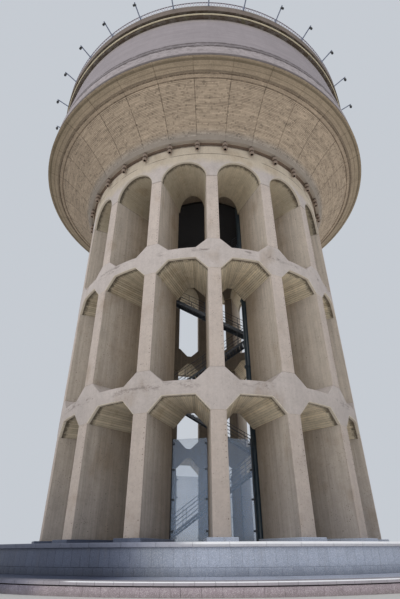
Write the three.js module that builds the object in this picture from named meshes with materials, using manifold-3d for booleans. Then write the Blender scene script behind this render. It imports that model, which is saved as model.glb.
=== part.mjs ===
// Concrete water tower: a round podium, a shaft of sixteen radial pier walls in three storeys of bays,
// a flared tank with a gallery and lamp arms, and a steel stair in the open core.
// Millimetres, +Z up. The origin is on the ground at the tower's axis, and one bay faces -Y.

import * as THREE from 'three';
import { ConvexGeometry } from 'three/addons/geometries/ConvexGeometry.js';
import { mergeVertices } from 'three/addons/utils/BufferGeometryUtils.js';
import Module from 'manifold-3d';

const wasm = await Module();
wasm.setup();

// Clearances and facets
const GAP = 0.3;
const ROUND_STEPS = 64;
const SHAFT_STEPS = 96;
const ARCH_STEPS = 14;

// Plan
const BAYS = 16;
const BAY_ANGLE = (2 * Math.PI) / BAYS;
const SHAFT_RADIUS = 10000;
const CORE_RADIUS = 6600;
const PIER_INNER = 6870;
const PIER_OUTER = 9990;
const PIER_HALF = 390;

// Podium heights and radii
const STEP_RADIUS = 14500;
const STEP_RISER_RADIUS = 14450;
const STEP_RISER_TOP = 265;
const STEP_JOINT_DEPTH = 45;
const STEP_NOSING_BOTTOM = 292;
const STEP_EDGE_TOP = 402;
const PODIUM_RADIUS = 12970;
const STEP_TOP = 462;
const COPING_BOTTOM = 1307;
const PODIUM_TOP = 1466;
const COPING_RADIUS = 13060;
const COPING_INNER = 12300;
const NOSE_DROP = 45;
const PAD_TOP = 1660;
const PAD_HALF = 645;
const PAD_OUTER = 10350;

// Storeys: the heads, sills and springing of the bays
const CHAMFER = 730;
const HEAD_CHAMFER = 780;
const SILL_CHAMFER = 670;
const HEAD_1 = 7732;
const SILL_2 = 8494;
const HEAD_2 = 16132;
const SILL_3 = 16910;
const SPRINGING = 23180;
const ARCH_RISE = 1510;
const SHAFT_TOP = 26200;

// Tank
const FLOOR_RADIUS = 9850;
const FLOOR_TOP = 26900;
const LIP_BOTTOM = 26410;
const LIP_RADIUS = 10450;
const FLARE_FOOT = [10450, 26480];
const FLARE_PULL = [11300, 27860];
const FLARE_HEAD = [13225, 29315];
const FLARE_STEPS = 7;
const FASCIA_INNER = [13649, 29432];
const CONE_SEAT_RADIUS = 9400;
const CONE_SEAT_TOP = 27100;
const CONE_INNER_FOOT = [10500, 27400];
const RIM_RADIUS = 14600;
const RIM_BOTTOM = 29732;
const RIM_SEAT = 29770;
const CONE_INNER_HEAD = [12900, RIM_SEAT];
const WALL_BREAK = [14490, 31110];
const WALL_TOP_RADIUS = 13860;
const WALL_TOP = 36250;
const WALL_THICKNESS = 360;
const WALL_FOOT_INNER = 14140;

// Cornice, roof and gallery
const CORNICE_RADIUS = 14173;
const GROOVE_RADIUS = 14050;
const FILLET_TOP = 36530;
const SLAB_BOTTOM = 36850;
const SLAB_RADIUS = 14250;
const DECK_TOP = 37540;
const CORNICE_INNER = 13300;
const ROOF_LEDGE = 37150;
const ROOF_THICKNESS = 250;
const ROOF_CROWN = 200;
const ROOF_SEAT_RADIUS = 13000;
const RAIL_RADIUS = 14200;
const RAIL_TOP = 38245;
const RAIL_SIZE = 70;
const LOW_RAIL_TOP = 37720;
const RAIL_POST = 50;
const RAIL_BITE = 20;
const LAMPS = 32;
const LAMP_ARM = 60;
const LAMP_TIP = 15300;
const LAMP_HEIGHT = 37800;
const LAMP_HEAD = [240, 160, 300];
const LAMP_HEAD_OUT = 60;
const LAMP_HEAD_DROP = 110;

// Brackets under the tank's lip
const BRACKETS = 32;
const BRACKET_RADIUS = 150;
const BRACKET_CENTRE = 10260;
const BRACKET_BOTTOM = 25620;
const BRACKET_BITE = 40;
const BRACKET_SIDES = 8;

// Glass screen round the core at ground level
const GLASS_RADIUS = 6866;
const GLASS_THICKNESS = 24;
const GLASS_TOP = 6360;

// Riser pipe, which stands behind a pier and runs up to the tank's floor
const PIPE_RADIUS = 190;
const PIPE_DISTANCE = 6150;
const PIPE_ANGLE = 0.58;
const PIPE_SIDES = 16;
const FLANGE_RADIUS = 260;
const FLANGE_THICKNESS = 90;
const FLANGE_LEVELS = [1511, 6100, 10900, 15700, 20500, 26154];

// Stair: straight flights that zigzag along X between landings carried by the piers
const FLIGHT_START = -2850;
const FLIGHT_END = 3950;
const LANDING_LEVELS = [6210, 10760, 15310, 19860, 24410];
const STEPS_PER_FLIGHT = 26;
const LANE_HALF_GAP = 60;
const LANE_WIDTH = 1150;
const TREAD_THICKNESS = 40;
const TREAD_SHARE = 0.95;
const STRINGER_DEPTH = 260;
const STRINGER_WIDTH = 50;
const LANDING_DECK = 60;
const BEAM_DEPTH = 240;
const BEAM_WIDTH = 80;
const BEAM_Y = 1300;
const BEAM_BITE = 10;
const LANDING_REACH = 6540;
const INNER_LANDING_REACH = 6460;
const LANDING_SEATS = ['posts', 'piers', 'piers', 'piers', 'ring'];
const POST_SIZE = 120;
const POST_INSET = 160;

// Materials
function finish(color, roughness, metalness) {
  return new THREE.MeshStandardMaterial({ color, roughness, metalness });
}
const paleConcrete = finish(0xb3a79b, 0.9, 0);
const boardConcrete = finish(0x8d8270, 0.95, 0);
const smoothConcrete = finish(0x9f989a, 0.85, 0);
const darkConcrete = finish(0x6f675c, 0.95, 0);
const granite = finish(0x8f959e, 0.6, 0);
const paleStone = finish(0xd9d8d6, 0.6, 0);
const whiteSteel = finish(0xe6e8ea, 0.45, 0.3);
const darkSteel = finish(0x2c3036, 0.5, 0.6);
const pipePaint = finish(0x3d4c58, 0.45, 0.4);
const screenGlass = finish(0x8aa0ad, 0.08, 0);

// Solids from closed geometries
function signedVolume(positions, triangles) {
  const a = new THREE.Vector3();
  const b = new THREE.Vector3();
  const c = new THREE.Vector3();
  let total = 0;
  for (let i = 0; i < triangles.length; i += 3) {
    a.fromArray(positions, 3 * triangles[i]);
    b.fromArray(positions, 3 * triangles[i + 1]);
    c.fromArray(positions, 3 * triangles[i + 2]);
    total += a.dot(b.cross(c));
  }
  return total / 6;
}

function solidOf(geometry) {
  const bare = geometry.clone();
  bare.deleteAttribute('normal');
  bare.deleteAttribute('uv');
  const merged = mergeVertices(bare, 1e-3);
  const corners = merged.index.array;
  const triangles = [];
  for (let i = 0; i < corners.length; i += 3) {
    const [a, b, c] = [corners[i], corners[i + 1], corners[i + 2]];
    if (a !== b && b !== c && c !== a) {
      triangles.push(a, b, c);
    }
  }
  const positions = new Float32Array(merged.attributes.position.array);
  if (signedVolume(positions, triangles) < 0) {
    triangles.reverse();
  }
  const triVerts = new Uint32Array(triangles);
  return new wasm.Manifold(new wasm.Mesh({ numProp: 3, vertProperties: positions, triVerts }));
}

function geometryOf(solid) {
  const mesh = solid.getMesh();
  const geometry = new THREE.BufferGeometry();
  geometry.setAttribute('position', new THREE.BufferAttribute(new Float32Array(mesh.vertProperties), 3));
  geometry.setIndex(new THREE.BufferAttribute(new Uint32Array(mesh.triVerts), 1));
  geometry.computeVertexNormals();
  return geometry;
}

function joined(solids) {
  return solids.reduce((whole, next) => whole.add(next));
}

// A solid of revolution about Z from [radius, height] points. Angle zero is on -Y.
function turned(profile, steps = ROUND_STEPS, start = 0) {
  const points = profile.map(([radius, height]) => new THREE.Vector2(radius, height));
  const geometry = new THREE.LatheGeometry(points, steps, start);
  geometry.rotateX(Math.PI / 2);
  return solidOf(geometry);
}

function ring(inner, outer, bottom, top, steps, start) {
  const corners = [[inner, bottom], [outer, bottom], [outer, top], [inner, top], [inner, bottom]];
  return turned(corners, steps, start);
}

function block(sizeX, sizeY, sizeZ, x, y, z) {
  const geometry = new THREE.BoxGeometry(sizeX, sizeY, sizeZ);
  geometry.translate(x, y, z);
  return solidOf(geometry);
}

function hull(points) {
  return solidOf(new ConvexGeometry(points.map(([x, y, z]) => new THREE.Vector3(x, y, z))));
}

function degrees(radians) {
  return (radians * 180) / Math.PI;
}

function spun(solid, angle) {
  return solid.rotate([0, 0, degrees(angle)]);
}

// Half of the plan, cut along the line of the piers at half a bay from -Y
const SPLIT_ANGLE = BAY_ANGLE / 2;
const HALF_REACH = 16000;
const CUT_HEIGHT = 45000;
const CUT_MIDDLE = 20000;
function halfOf(solid, side) {
  const middle = side * (HALF_REACH / 2 + GAP / 2);
  const keep = block(HALF_REACH, 2 * HALF_REACH, CUT_HEIGHT, middle, 0, CUT_MIDDLE);
  return solid.intersect(spun(keep, SPLIT_ANGLE));
}

// Bays: half of the clear width between two piers, at a distance along the bay's axis
function clearHalf(distance) {
  return distance * Math.tan(BAY_ANGLE / 2) - PIER_HALF / Math.cos(BAY_ANGLE / 2);
}

const CUT_INSIDE = 250;
const CUT_OUTSIDE = 400;
const CUT_NEAR = CORE_RADIUS - CUT_INSIDE;
const CUT_FAR = SHAFT_RADIUS + CUT_OUTSIDE;

function bayCutter(sectionAt) {
  const points = [CUT_NEAR, CUT_FAR].flatMap((distance) =>
    sectionAt(clearHalf(distance)).map(([x, z]) => [x, -distance, z]));
  return hull(points);
}

function headSection(half, head) {
  const neck = head - HEAD_CHAMFER;
  return [[half, neck], [half - CHAMFER, head], [CHAMFER - half, head], [-half, neck]];
}

function sillSection(half, sill) {
  const foot = sill + SILL_CHAMFER;
  return [[half, foot], [half - CHAMFER, sill], [CHAMFER - half, sill], [-half, foot]];
}

function archSection(half) {
  const points = [];
  for (let i = 0; i <= ARCH_STEPS; i += 1) {
    const angle = (Math.PI * i) / ARCH_STEPS;
    points.push([half * Math.cos(angle), SPRINGING + ARCH_RISE * Math.sin(angle)]);
  }
  return points;
}

const lowerBay = bayCutter((half) => [...headSection(half, HEAD_1), [half, PAD_TOP], [-half, PAD_TOP]]);
const middleBay = bayCutter((half) => [...headSection(half, HEAD_2), ...sillSection(half, SILL_2)]);
const upperBay = bayCutter((half) => [...archSection(half), ...sillSection(half, SILL_3)]);

function aroundBays(solid) {
  const copies = [];
  for (let bay = 0; bay < BAYS; bay += 1) {
    copies.push(spun(solid, bay * BAY_ANGLE));
  }
  return joined(copies);
}

const allBays = [lowerBay, middleBay, upperBay].map(aroundBays);
const slotDepth = CUT_FAR - PIER_INNER + GAP;
const slotMiddle = PIER_INNER - GAP + slotDepth / 2;
const slot = block(2 * (PIER_HALF + GAP), slotDepth, CUT_HEIGHT, 0, -slotMiddle, CUT_MIDDLE);
const allSlots = spun(aroundBays(slot), BAY_ANGLE / 2);

// One of the shaft's three rings: solid between the piers, cut by the bays above and below it
function shaftRing(bottom, top, cutters) {
  let solid = ring(CORE_RADIUS, SHAFT_RADIUS, bottom, top, SHAFT_STEPS);
  for (const cutter of cutters) {
    solid = solid.subtract(cutter);
  }
  return solid.subtract(allSlots);
}

// A pier wall over its whole height, standing on its pad
function pier() {
  const height = SHAFT_TOP - PAD_TOP - 2 * GAP;
  const depth = PIER_OUTER - PIER_INNER;
  return block(2 * PIER_HALF, depth, height, 0, -(PIER_INNER + depth / 2), PAD_TOP + GAP + height / 2);
}

// Podium
const podiumStep = turned([
  [0, 0],
  [STEP_RISER_RADIUS, 0],
  [STEP_RISER_RADIUS, STEP_RISER_TOP],
  [STEP_RISER_RADIUS - STEP_JOINT_DEPTH, STEP_RISER_TOP],
  [STEP_RISER_RADIUS - STEP_JOINT_DEPTH, STEP_NOSING_BOTTOM],
  [STEP_RADIUS, STEP_NOSING_BOTTOM],
  [STEP_RADIUS, STEP_EDGE_TOP],
  [PODIUM_RADIUS, STEP_TOP],
  [0, STEP_TOP],
]);
const podiumWall = turned([
  [0, STEP_TOP + GAP],
  [PODIUM_RADIUS, STEP_TOP + GAP],
  [PODIUM_RADIUS, COPING_BOTTOM],
  [0, COPING_BOTTOM],
]);
const podiumCoping = turned([
  [COPING_INNER, COPING_BOTTOM + GAP],
  [COPING_RADIUS, COPING_BOTTOM + GAP],
  [COPING_RADIUS, PODIUM_TOP - NOSE_DROP],
  [COPING_RADIUS - NOSE_DROP / 3, PODIUM_TOP - NOSE_DROP / 3],
  [COPING_RADIUS - NOSE_DROP, PODIUM_TOP],
  [COPING_INNER, PODIUM_TOP],
  [COPING_INNER, COPING_BOTTOM + GAP],
]);
const padDepth = PAD_OUTER - PIER_INNER;
const padHeight = PAD_TOP - COPING_BOTTOM - 2 * GAP;
const padMiddle = PIER_INNER + padDepth / 2;
const pad = block(2 * PAD_HALF, padDepth, padHeight, 0, -padMiddle, PAD_TOP - padHeight / 2);
const podiumFloor = turned([
  [0, COPING_BOTTOM + GAP],
  [COPING_INNER - GAP, COPING_BOTTOM + GAP],
  [COPING_INNER - GAP, PODIUM_TOP],
  [0, PODIUM_TOP],
]).add(spun(aroundBays(pad), BAY_ANGLE / 2));

// Tank
function flareCurve(steps) {
  const curve = new THREE.QuadraticBezierCurve(
    new THREE.Vector2(...FLARE_FOOT), new THREE.Vector2(...FLARE_PULL), new THREE.Vector2(...FLARE_HEAD));
  return curve.getPoints(steps).map((point) => [point.x, point.y]);
}

const tankFloor = turned([
  [0, SHAFT_TOP],
  [FLOOR_RADIUS, SHAFT_TOP],
  [FLOOR_RADIUS, FLOOR_TOP],
  [0, FLOOR_TOP],
]);
const bracketHeight = LIP_BOTTOM + BRACKET_BITE - BRACKET_BOTTOM;
const bracketGeometry = new THREE.CylinderGeometry(
  BRACKET_RADIUS, BRACKET_RADIUS, bracketHeight, BRACKET_SIDES);
bracketGeometry.rotateX(Math.PI / 2);
bracketGeometry.translate(0, -BRACKET_CENTRE, BRACKET_BOTTOM + bracketHeight / 2);
const bracket = solidOf(bracketGeometry);
const brackets = [];
for (let i = 0; i < BRACKETS; i += 1) {
  brackets.push(spun(bracket, ((i + 0.5) * 2 * Math.PI) / BRACKETS));
}

const tankCone = turned([
  [FLOOR_RADIUS + GAP, LIP_BOTTOM],
  [LIP_RADIUS, LIP_BOTTOM],
  ...flareCurve(FLARE_STEPS),
  FASCIA_INNER,
  [RIM_RADIUS, RIM_BOTTOM],
  [RIM_RADIUS, RIM_SEAT],
  CONE_INNER_HEAD,
  CONE_INNER_FOOT,
  [CONE_SEAT_RADIUS, CONE_SEAT_TOP],
  [CONE_SEAT_RADIUS, FLOOR_TOP + GAP],
  [FLOOR_RADIUS + GAP, FLOOR_TOP + GAP],
  [FLOOR_RADIUS + GAP, LIP_BOTTOM],
]).add(joined(brackets));

const tankWall = turned([
  [WALL_FOOT_INNER, RIM_SEAT + GAP],
  [RIM_RADIUS, RIM_SEAT + GAP],
  WALL_BREAK,
  [WALL_TOP_RADIUS, WALL_TOP],
  [WALL_TOP_RADIUS - WALL_THICKNESS, WALL_TOP],
  [WALL_BREAK[0] - WALL_THICKNESS, WALL_BREAK[1]],
  [WALL_FOOT_INNER, RIM_SEAT + GAP],
]);

const cornice = turned([
  [ROOF_SEAT_RADIUS, WALL_TOP + GAP],
  [CORNICE_RADIUS, WALL_TOP + GAP],
  [CORNICE_RADIUS, FILLET_TOP],
  [GROOVE_RADIUS, FILLET_TOP],
  [GROOVE_RADIUS, SLAB_BOTTOM],
  [SLAB_RADIUS, SLAB_BOTTOM],
  [SLAB_RADIUS, DECK_TOP],
  [CORNICE_INNER, DECK_TOP],
  [CORNICE_INNER, ROOF_LEDGE],
  [ROOF_SEAT_RADIUS, ROOF_LEDGE],
  [ROOF_SEAT_RADIUS, WALL_TOP + GAP],
]);

const roofSlab = turned([
  [0, ROOF_LEDGE + ROOF_CROWN],
  [ROOF_SEAT_RADIUS, ROOF_LEDGE + GAP],
  [CORNICE_INNER - GAP, ROOF_LEDGE + GAP],
  [CORNICE_INNER - GAP, ROOF_LEDGE + ROOF_THICKNESS],
  [0, ROOF_LEDGE + ROOF_THICKNESS + ROOF_CROWN],
]);

// Gallery: two rails on posts, and the lamp arms that lean out from it
function railRing(height) {
  return ring(RAIL_RADIUS - RAIL_SIZE / 2, RAIL_RADIUS + RAIL_SIZE / 2, height - RAIL_SIZE, height);
}

function galleryParts() {
  const parts = [railRing(RAIL_TOP), railRing(LOW_RAIL_TOP)];
  const postHeight = RAIL_TOP - RAIL_BITE - DECK_TOP - GAP;
  const post = block(RAIL_POST, RAIL_POST, postHeight, 0, -RAIL_RADIUS, DECK_TOP + GAP + postHeight / 2);
  const armFoot = RAIL_RADIUS - RAIL_BITE;
  const armLength = LAMP_TIP - armFoot;
  const arm = block(LAMP_ARM, armLength, LAMP_ARM, 0, -(armFoot + armLength / 2), LAMP_HEIGHT);
  const head = block(...LAMP_HEAD, 0, -(LAMP_TIP + LAMP_HEAD_OUT), LAMP_HEIGHT - LAMP_HEAD_DROP);
  const lamp = joined([post, arm, head]);
  for (let i = 0; i < LAMPS; i += 1) {
    parts.push(spun(lamp, (i * 2 * Math.PI) / LAMPS));
  }
  return parts;
}
const gallery = joined(galleryParts());

// Glass screen: flat sheets from pier to pier, behind their inner ends
const glassScreen = ring(GLASS_RADIUS - GLASS_THICKNESS, GLASS_RADIUS, PODIUM_TOP + GAP, GLASS_TOP,
  BAYS, BAY_ANGLE / 2);

// Riser pipe with flanged joints
function pipeDisc(radius, bottom, top) {
  const geometry = new THREE.CylinderGeometry(radius, radius, top - bottom, PIPE_SIDES);
  geometry.rotateX(Math.PI / 2);
  geometry.translate(0, -PIPE_DISTANCE, (bottom + top) / 2);
  return solidOf(geometry);
}
const riserPipe = spun(joined([
  pipeDisc(PIPE_RADIUS, PODIUM_TOP + GAP, SHAFT_TOP - GAP),
  ...FLANGE_LEVELS.map((level) => pipeDisc(FLANGE_RADIUS, level - FLANGE_THICKNESS / 2 + GAP,
    level + FLANGE_THICKNESS / 2)),
]), PIPE_ANGLE);

// Stair
function flight(bottom, top, lane, direction) {
  const run = FLIGHT_END - FLIGHT_START;
  const rise = (top - bottom) / (STEPS_PER_FLIGHT + 1);
  const going = run / STEPS_PER_FLIGHT;
  const startX = direction > 0 ? FLIGHT_START : FLIGHT_END;
  const laneY = lane * (LANE_HALF_GAP + LANE_WIDTH / 2);
  const farX = startX + direction * run;
  const parts = [];
  for (const side of [-1, 1]) {
    const middle = laneY + side * (LANE_WIDTH / 2 - STRINGER_WIDTH / 2);
    const faces = [middle - STRINGER_WIDTH / 2, middle + STRINGER_WIDTH / 2];
    parts.push(hull(faces.flatMap((y) => [
      [startX, y, bottom + STRINGER_DEPTH / 2],
      [startX, y, bottom - STRINGER_DEPTH / 2],
      [farX, y, top - LANDING_DECK],
      [farX, y, top - LANDING_DECK - STRINGER_DEPTH],
    ])));
  }
  for (let i = 1; i <= STEPS_PER_FLIGHT; i += 1) {
    const x = startX + direction * (i - 0.5) * going;
    const z = bottom + i * rise - TREAD_THICKNESS / 2;
    parts.push(block(going * TREAD_SHARE, LANE_WIDTH - STRINGER_WIDTH, TREAD_THICKNESS, x, laneY, z));
  }
  return joined(parts).trimByPlane([0, 0, 1], PODIUM_TOP + GAP);
}

// Where a landing's beam meets the pier's inner end, which stands square to the pier
function pierFaceX(y) {
  return (PIER_INNER - GAP - y * Math.sin(BAY_ANGLE / 2)) / Math.cos(BAY_ANGLE / 2);
}

function landing(level, side, seat) {
  const start = side > 0 ? FLIGHT_END + GAP : -FLIGHT_START + GAP;
  const reach = seat === 'piers' ? LANDING_REACH : INNER_LANDING_REACH;
  const length = reach - start;
  const middle = side * (start + length / 2);
  const deck = block(length, 2 * BEAM_Y, LANDING_DECK, middle, 0, level - LANDING_DECK / 2);
  const beamTop = level - LANDING_DECK + BEAM_BITE;
  const beamFoot = beamTop - BEAM_DEPTH;
  const header = block(BEAM_WIDTH, 2 * BEAM_Y, BEAM_DEPTH,
    side * (start + BEAM_WIDTH / 2), 0, beamTop - BEAM_DEPTH / 2);
  const parts = [deck, header];
  for (const edge of [-1, 1]) {
    const faces = [BEAM_Y - BEAM_WIDTH / 2, BEAM_Y + BEAM_WIDTH / 2];
    parts.push(hull(faces.flatMap((y) => {
      const end = seat === 'piers' ? pierFaceX(y) : reach;
      return [beamFoot, beamTop].flatMap((z) => [[side * start, edge * y, z], [side * end, edge * y, z]]);
    })));
    if (seat === 'posts') {
      const height = beamTop - PODIUM_TOP - GAP;
      for (const distance of [start + POST_INSET, reach - POST_INSET]) {
        parts.push(block(POST_SIZE, POST_SIZE, height, side * distance, edge * BEAM_Y,
          PODIUM_TOP + GAP + height / 2));
      }
    }
  }
  return joined(parts);
}

// The assembly
const tower = new THREE.Group();
tower.name = 'water_tower';

function place(name, solid, material) {
  const mesh = new THREE.Mesh(geometryOf(solid), material);
  mesh.name = name;
  tower.add(mesh);
  return mesh;
}

function placeHalves(name, solid, material) {
  place(`${name}_right`, halfOf(solid, 1), material);
  place(`${name}_left`, halfOf(solid, -1), material);
}

place('podium_step', podiumStep, granite);
place('podium_wall', podiumWall, granite);
place('podium_coping', podiumCoping, paleStone);
place('podium_floor', podiumFloor, paleStone);

const pierSolid = pier();
for (let i = 0; i < BAYS; i += 1) {
  const mesh = place(`pier_${String(i + 1).padStart(2, '0')}`, pierSolid, paleConcrete);
  mesh.rotation.z = (i + 0.5) * BAY_ANGLE;
}

const ringTop1 = SILL_2 + SILL_CHAMFER;
const ringTop2 = SILL_3 + SILL_CHAMFER;
const lowerRing = shaftRing(HEAD_1 - HEAD_CHAMFER, ringTop1, [allBays[0], allBays[1]]);
const middleRing = shaftRing(HEAD_2 - HEAD_CHAMFER, ringTop2, [allBays[1], allBays[2]]);
placeHalves('lower_ring', lowerRing, paleConcrete);
placeHalves('middle_ring', middleRing, paleConcrete);
placeHalves('arcade_ring', shaftRing(SPRINGING, SHAFT_TOP - GAP, [allBays[2]]), paleConcrete);

place('tank_floor', tankFloor, darkConcrete);
placeHalves('tank_cone', tankCone, boardConcrete);
placeHalves('tank_wall', tankWall, smoothConcrete);
place('cornice', cornice, smoothConcrete);
place('roof_slab', roofSlab, smoothConcrete);
place('gallery_rail', gallery, whiteSteel);
place('glass_screen', glassScreen, screenGlass);
place('riser_pipe', riserPipe, pipePaint);

let bottom = PODIUM_TOP;
LANDING_LEVELS.forEach((level, i) => {
  const direction = i % 2 === 0 ? 1 : -1;
  place(`stair_flight_${i + 1}`, flight(bottom, level, -direction, direction), darkSteel);
  place(`stair_landing_${i + 1}`, landing(level, direction, LANDING_SEATS[i]), darkSteel);
  bottom = level;
});

export default tower;
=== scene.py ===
"""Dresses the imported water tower: board-marked concrete, granite podium, gallery, stair and glass.

Metres, +Z up, with the origin on the ground at the tower's axis. Angles run from -Y towards +X, so the
bay at angle zero faces -Y, and a pier stands at every half bay.
"""
import sys

import logging
import math
import random
from dataclasses import dataclass, field
from enum import Enum
from functools import cached_property
from typing import Any, Callable, Sequence

import bmesh
import bpy
from mathutils import Matrix, Vector


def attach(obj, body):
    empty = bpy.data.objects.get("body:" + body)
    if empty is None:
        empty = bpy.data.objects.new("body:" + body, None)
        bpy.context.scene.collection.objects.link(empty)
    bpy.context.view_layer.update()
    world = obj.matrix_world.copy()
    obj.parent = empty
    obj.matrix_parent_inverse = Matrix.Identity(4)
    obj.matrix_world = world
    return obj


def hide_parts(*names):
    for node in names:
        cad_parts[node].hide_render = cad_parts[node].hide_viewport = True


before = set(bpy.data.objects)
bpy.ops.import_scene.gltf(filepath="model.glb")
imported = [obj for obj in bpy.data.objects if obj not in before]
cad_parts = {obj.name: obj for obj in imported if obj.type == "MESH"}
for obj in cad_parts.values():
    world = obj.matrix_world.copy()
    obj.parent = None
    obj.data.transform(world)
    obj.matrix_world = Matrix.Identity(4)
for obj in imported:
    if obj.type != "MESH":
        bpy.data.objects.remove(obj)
log = logging.getLogger("water_tower")

BODY = "root"
BAYS = 16
BAY = math.tau / BAYS
TINY = 1e-9
WELD = 2e-5
Pair = tuple[float, float]
Four = tuple[float, float, float, float]
Colour = Four
WHITE = (1.0, 1.0, 1.0, 1.0)


class Zone(Enum):
    """What a face of the concrete is, as the masks (side, soffit, ring, accent) that the finishes read."""

    FACE = (0.0, 0.0, 0.0, 0.0)
    SIDE = (1.0, 0.0, 0.0, 0.0)
    SOFFIT = (0.0, 1.0, 0.0, 0.0)
    RING = (0.0, 0.0, 1.0, 0.0)
    ACCENT = (0.0, 0.0, 0.0, 1.0)


def tint(red: float, green: float, blue: float) -> Colour:
    """Turns a colour as it is seen, 0 to 255, into the light values that a shader works with.

    Args:
        red: Red, 0 to 255.
        green: Green, 0 to 255.
        blue: Blue, 0 to 255.

    Returns:
        The linear colour with an alpha of one.
    """
    seen = [value / 255 for value in (red, green, blue)]
    light = [v / 12.92 if v <= 0.04045 else ((v + 0.055) / 1.055) ** 2.4 for v in seen]
    return (light[0], light[1], light[2], 1.0)


def polar(radius: float, angle: float, height: float) -> Vector:
    """The point at a radius, at an angle from -Y towards +X, and at a height."""
    return Vector((radius * math.sin(angle), -radius * math.cos(angle), height))


def spread(low: float, high: float, count: int) -> list[float]:
    """Count values from low to high, both of them in."""
    return [low + (high - low) * i / (count - 1) for i in range(count)]


def whole_turn(count: int) -> list[float]:
    """Count equal angles, which go once round."""
    return spread(0, math.tau, count + 1)[:-1]


def beside(corner: Pair, offsets: Sequence[Pair]) -> list[Pair]:
    """The points that lie at these offsets from a corner."""
    return [(corner[0] + across, corner[1] + up) for across, up in offsets]


# Node trees


class Bench:
    """A node tree under construction, for a material or for Geometry Nodes."""

    def __init__(self, tree: bpy.types.NodeTree) -> None:
        """Takes the tree that the nodes go into."""
        self.tree = tree

    def node(self, kind: str, settings: dict[str, Any] | None = None,
             inputs: dict[int | str, Any] | None = None, output: int | str = 0) -> "Wire":
        """Adds a node of any type.

        Args:
            kind: The node's type.
            settings: Its own settings, which are set first.
            inputs: Values or wires for its sockets, by name or number.
            output: The output socket that the wire starts at.

        Returns:
            The wire from that output.
        """
        made = self.tree.nodes.new(kind)
        for name, value in (settings or {}).items():
            setattr(made, name, value)
        for key, value in (inputs or {}).items():
            if isinstance(value, Wire):
                self.tree.links.new(value.socket, made.inputs[key])
            else:
                made.inputs[key].default_value = value
        return Wire(self, made.outputs[output])


def maths(operation: str, swapped: bool = False) -> Callable[..., "Wire"]:
    """Makes the method of a wire that adds one maths node.

    Args:
        operation: The node's operation.
        swapped: Whether the wire stands on the right of the operator.

    Returns:
        The method.
    """
    def method(wire: "Wire", *others: Any) -> "Wire":
        """The wire of the result."""
        return wire.combine(operation, *((*others, wire) if swapped else (wire, *others)))

    return method


class Wire:
    """A socket that Python's operators turn into maths nodes. Comparisons give one or zero."""

    def __init__(self, bench: Bench, socket: bpy.types.NodeSocket) -> None:
        """Takes the tree and the output socket."""
        self.bench = bench
        self.socket = socket

    __add__, __radd__ = maths("ADD"), maths("ADD", True)
    __sub__, __rsub__ = maths("SUBTRACT"), maths("SUBTRACT", True)
    __mul__, __rmul__ = maths("MULTIPLY"), maths("MULTIPLY", True)
    __truediv__ = maths("DIVIDE")
    __gt__, __lt__ = maths("GREATER_THAN"), maths("LESS_THAN")
    __abs__, root = maths("ABSOLUTE"), maths("SQRT")
    floor, fract = maths("FLOOR"), maths("FRACT")
    most, least = maths("MAXIMUM"), maths("MINIMUM")
    sine, cosine = maths("SINE"), maths("COSINE")

    @property
    def is_vector(self) -> bool:
        """Whether the wire carries a vector or a colour."""
        return self.socket.type in {"VECTOR", "RGBA"}

    def combine(self, operation: str, *values: Any) -> "Wire":
        """Adds a Math node, or a Vector Math node where a value is a vector or a colour.

        Args:
            operation: The node's operation.
            values: The values or wires that it takes.

        Returns:
            The wire of the result.
        """
        vectors = [value for value in values if isinstance(value, Wire) and value.is_vector]
        if not vectors:
            return self.bench.node("ShaderNodeMath", {"operation": operation}, dict(enumerate(values)))
        scalars = [value for value in values if value not in vectors]
        if operation == "MULTIPLY" and len(scalars) == 1 and not isinstance(scalars[0], tuple):
            return self.bench.node("ShaderNodeVectorMath", {"operation": "SCALE"},
                                   {0: vectors[0], "Scale": scalars[0]})
        filled = [(v, v, v) if isinstance(v, (int, float)) else v for v in values]
        return self.bench.node("ShaderNodeVectorMath", {"operation": operation}, dict(enumerate(filled)))

    def ease(self, low: float, high: float, start: float = 0.0, end: float = 1.0) -> "Wire":
        """Goes smoothly from start to end as the wire goes from low to high.

        Args:
            low: Where the change starts.
            high: Where it ends.
            start: The result up to low.
            end: The result from high on.

        Returns:
            The wire of the result.
        """
        return self.bench.node("ShaderNodeMapRange", {"interpolation_type": "SMOOTHSTEP"},
                               {"Value": self, "From Min": low, "From Max": high, "To Min": start,
                                "To Max": end})

    def fade(self, low: float, high: float) -> "Wire":
        """Goes smoothly from one to zero as the wire goes from low to high."""
        return self.ease(low, high, 1.0, 0.0)

    def swing(self, amount: Any) -> "Wire":
        """What the wire is over a half, times an amount."""
        return (self - 0.5) * amount

    def seam(self, low: float, high: float) -> "Wire":
        """A mask of the lines where the wire passes a whole number."""
        return abs(self.fract() - 0.5).ease(low, high)

    def parts(self) -> tuple["Wire", "Wire", "Wire"]:
        """The wire's three numbers."""
        split = self.bench.node("ShaderNodeSeparateXYZ", {}, {0: self})
        first, second, third = (Wire(self.bench, output) for output in split.socket.node.outputs)
        return first, second, third


@dataclass
class Surface:
    """The constants of a finish's shader, which are set on the shader's own sockets."""

    specular: float = 0.35
    coat: float = 0.0
    coat_roughness: float = 0.1


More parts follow.
